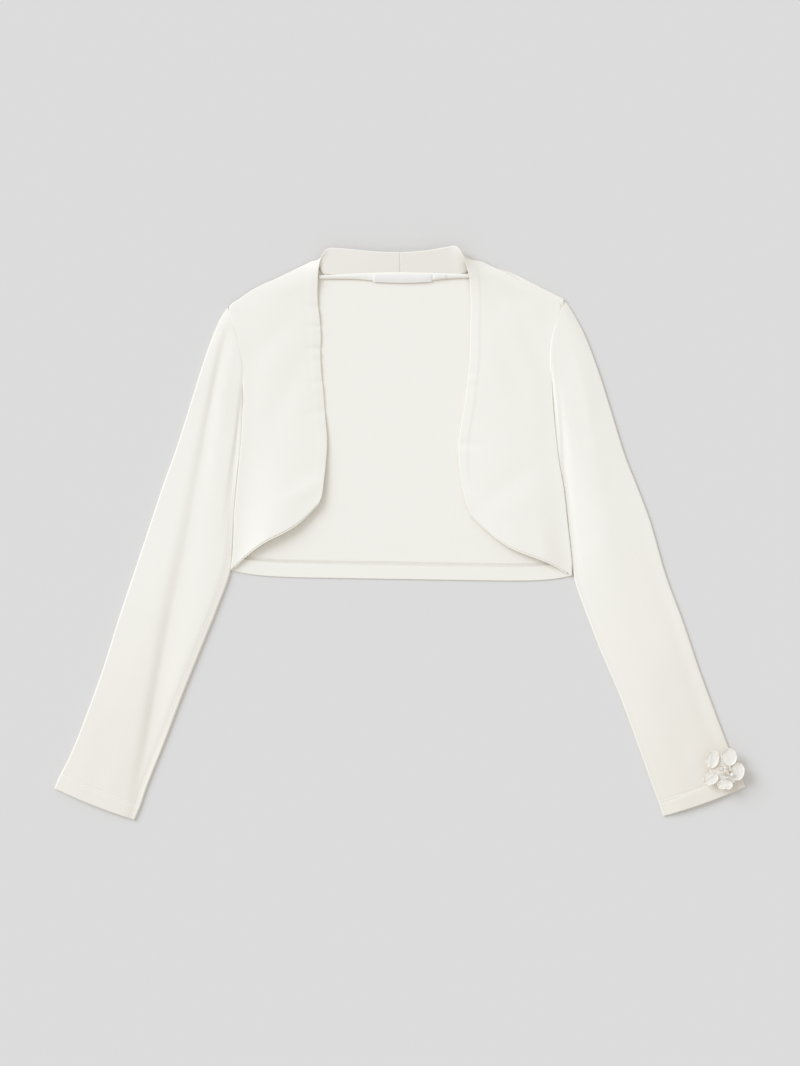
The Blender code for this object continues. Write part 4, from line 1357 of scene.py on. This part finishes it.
def add_stone(number, row):
    """A cut stone in its rim."""
    size = row.radius * MM
    stone = start_from(f"stone_{number}", bpy.ops.mesh.primitive_cone_add, vertices=STONE_FACETS,
                       radius1=size, radius2=STONE_TABLE * size, depth=STONE_CROWN * size,
                       location=world(row.x, row.y, row.z))
    bpy.ops.object.mode_set(mode="EDIT")
    bpy.ops.mesh.select_all(action="DESELECT")
    bpy.ops.object.mode_set(mode="OBJECT")
    for face in stone.data.polygons:
        face.select = face.normal.z < -0.9
    bpy.ops.object.mode_set(mode="EDIT")
    bpy.ops.mesh.select_mode(type="FACE")
    bpy.ops.mesh.extrude_region_move(TRANSFORM_OT_translate={"value": (0, 0, -STONE_DEPTH * size)})
    bpy.ops.transform.resize(value=(STONE_POINT, STONE_POINT, 1), center_override=world(row.x, row.y, row.z))
    bpy.ops.object.mode_set(mode="OBJECT")
    settle(stone, cut_glass, smooth=False)
    rim = start_from(f"stone_rim_{number}", bpy.ops.mesh.primitive_torus_add, major_segments=28,
                     minor_segments=8, major_radius=size, minor_radius=RIM_WIRE * size,
                     location=world(row.x, row.y, row.z - RIM_DROP * row.radius))
    settle(rim, pale_metal)
    return stone, rim


def add_pearl(number, row):
    """A pearl, pressed a little flat where it is sewn down."""
    ball = start_from(f"pearl_{number}", bpy.ops.mesh.primitive_uv_sphere_add, segments=24,
                      ring_count=14, radius=row.radius * MM, location=world(row.x, row.y, row.z))
    ball.scale = (1, 1, PEARL_SQUASH)
    settle(ball, pearl_white)
    return ball


add_boss()
stones = [add_stone(number, row) for number, row in enumerate(STONES, 1)]
pearls = [add_pearl(number, row) for number, row in enumerate(PEARLS, 1)]
print(len(stones), "stones and", len(pearls), "pearls")

# %% [markdown]
# ## The sewing
# Two needles run round each cuff and along the back hem. A stitch is a short thread that dips
# into the cloth at both ends, so it is modelled once, from a ball drawn out long, and copied
# along its line. On the inside of the back hem the looper thread shows instead: it zigzags
# between the two needle lines over the cut edge.

# %% Stitches
STITCH = 2.7                        # length of one stitch with its gap
STITCH_HALF = 0.46 * STITCH         # half the length of its thread
STITCH_DIP = 0.25                   # how far its ends dip into the cloth
THREAD = 0.17                       # radius of the thread
STITCH_LIFT = 0.02                  # its middle lies this far above the face of the cloth
SEWN_COLUMNS = slice(3, 82)         # the columns of a sleeve's upper layer between its two folds


def line_on(points, reach, line):
    """The points of a grid at one distance along its columns, as a line across it."""
    found = []
    for j in range(points.shape[1]):
        order = np.argsort(reach[:, j])
        found.append([np.interp(line, reach[order, j], points[order, j, i]) for i in range(3)])
    return np.array(found)


def spaced(line, step):
    """Places along a line in equal steps, and the direction of the line at each."""
    reach = np.concatenate(([0], np.cumsum(np.linalg.norm(np.diff(line, axis=0), axis=1))))
    at = np.arange(step / 2, reach[-1], step)
    places = np.stack([np.interp(at, reach, line[:, i]) for i in range(3)], axis=-1)
    ahead = np.stack([np.interp(at + step / 4, reach, line[:, i]) for i in range(3)], axis=-1)
    way = ahead - places
    return places, way / (np.linalg.norm(way, axis=1, keepdims=True) + TINY)


def model_stitch():
    """One stitch: a ball drawn out into a short thread whose ends dip."""
    stitch = start_from("stitch", bpy.ops.mesh.primitive_uv_sphere_add, segments=6, ring_count=6, radius=1)
    bpy.ops.object.mode_set(mode="EDIT")
    bpy.ops.mesh.select_all(action="SELECT")
    bpy.ops.transform.rotate(value=pi / 2, orient_axis="Y", center_override=(0, 0, 0))
    bpy.ops.transform.resize(value=(STITCH_HALF, THREAD, THREAD))
    bpy.ops.object.mode_set(mode="OBJECT")
    return stitch


def sew(name, lines, lift):
    """Copy the stitch along each line, joined as one mesh."""
    model = model_stitch()
    form = np.array([vert.co for vert in model.data.vertices])
    form[:, 2] -= STITCH_DIP * (form[:, 0] / STITCH_HALF) ** 2
    faces = [list(face.vertices) for face in model.data.polygons]
    bpy.data.objects.remove(model)
    points, polygons = [], []
    for line in lines:
        for place, way in zip(*spaced(line, STITCH)):
            side = np.cross((0, 0, 1), way)
            turned = form[:, :1] * way + form[:, 1:2] * side + form[:, 2:] * np.array((0, 0, 1))
            polygons += [[len(points) * len(form) + i for i in face] for face in faces]
            points.append((turned + place + (0, 0, lift) - (MIDDLE_X, MIDDLE_Y, 0)) * MM)
    mesh = bpy.data.meshes.new(name)
    mesh.from_pydata(np.concatenate(points).tolist(), [], polygons)
    mesh.shade_smooth()
    piece = bpy.data.objects.new(name, mesh)
    bpy.context.scene.collection.objects.link(piece)
    dress(piece, ivory_thread)
    print(name, len(points), "stitches")
    return piece


for side, points in sleeve_points.items():
    top = points[:, SEWN_COLUMNS]
    reach = run_length(top[::-1], 0)[::-1]
    lines = [line_on(top, reach, line) for line in CUFF_LINES]
    sew(f"cuff_stitches_{side}", lines, CLOTH / 2 + STITCH_LIFT)

# %% Looper thread
HEM_LINES = (13.4, 17.4)            # the two needle lines, this far up from the hem
LOOP = 1.35                         # half the pitch of the zigzag


def add_looper():
    """The thread that zigzags over the cut edge on the inside of the back hem."""
    reach = run_length(back_points, 0)
    low, high = (line_on(back_points, reach, line) for line in HEM_LINES)
    lows, highs = (spaced(line, LOOP)[0] for line in (low, high))
    zigzag = []
    for number, (at_low, at_high) in enumerate(zip(lows, highs)):
        on_hem = number % 2 == 0
        x, y, z = at_low if on_hem else at_high
        height = BACK_WALL / 2 + THREAD + (2 * HEM_FOLD if on_hem else 0)
        zigzag.append(world(x, y, z + height))
    curve = bpy.data.curves.new("back_hem_looper", "CURVE")
    curve.dimensions = "3D"
    curve.bevel_depth = THREAD * MM
    curve.bevel_resolution = 1
    spline = curve.splines.new("POLY")
    spline.points.add(len(zigzag) - 1)
    for point, place in zip(spline.points, zigzag):
        point.co = (*place, 1)
    piece = bpy.data.objects.new("back_hem_looper", curve)
    bpy.context.scene.collection.objects.link(piece)
    pick(piece)
    bpy.ops.object.convert(target="MESH")
    piece = bpy.context.object
    piece.data.shade_smooth()
    dress(piece, ivory_thread)
    return piece


looper = add_looper()
print("looper", len(looper.data.polygons), "faces")

# %% [markdown]
# ## The cut
# Cloth is described by the size it was cut to. Each panel's flat width and length are those of
# its pattern piece with its turned hem, and the area is that of the cut shape.

# %% Sheets
CUTS = table("piece width length area rests_on", (
    (back, 0.346, 0.338, 0.1037, "floor"),
    (fronts["right"], 0.120, 0.420, 0.0256, "back"),
    (fronts["left"], 0.120, 0.420, 0.0284, "back"),
    (facings["right"], 0.080, 0.440, 0.0112, "back"),
    (facings["left"], 0.080, 0.440, 0.0125, "back"),
    (sleeves["right"], 0.196, 0.530, 0.0796, "floor"),
    (sleeves["left"], 0.196, 0.530, 0.0805, "floor"),
    (tape, 0.010, 0.142, None, "back"),
    (labels[0], 0.010, 0.060, None, "neck_tape"),
    (labels[1], 0.010, 0.0145, 0.00007, "neck_tape"),
    (flower_base, 0.030, 0.030, 0.00067, "sleeve_left"),
    *((petal, 0.0176, 0.0150, 0.00018, "flower_base") for petal in petals),
))
for cut in CUTS:
    print(cut.piece.name, round(cloth_area(cut.piece), 5))
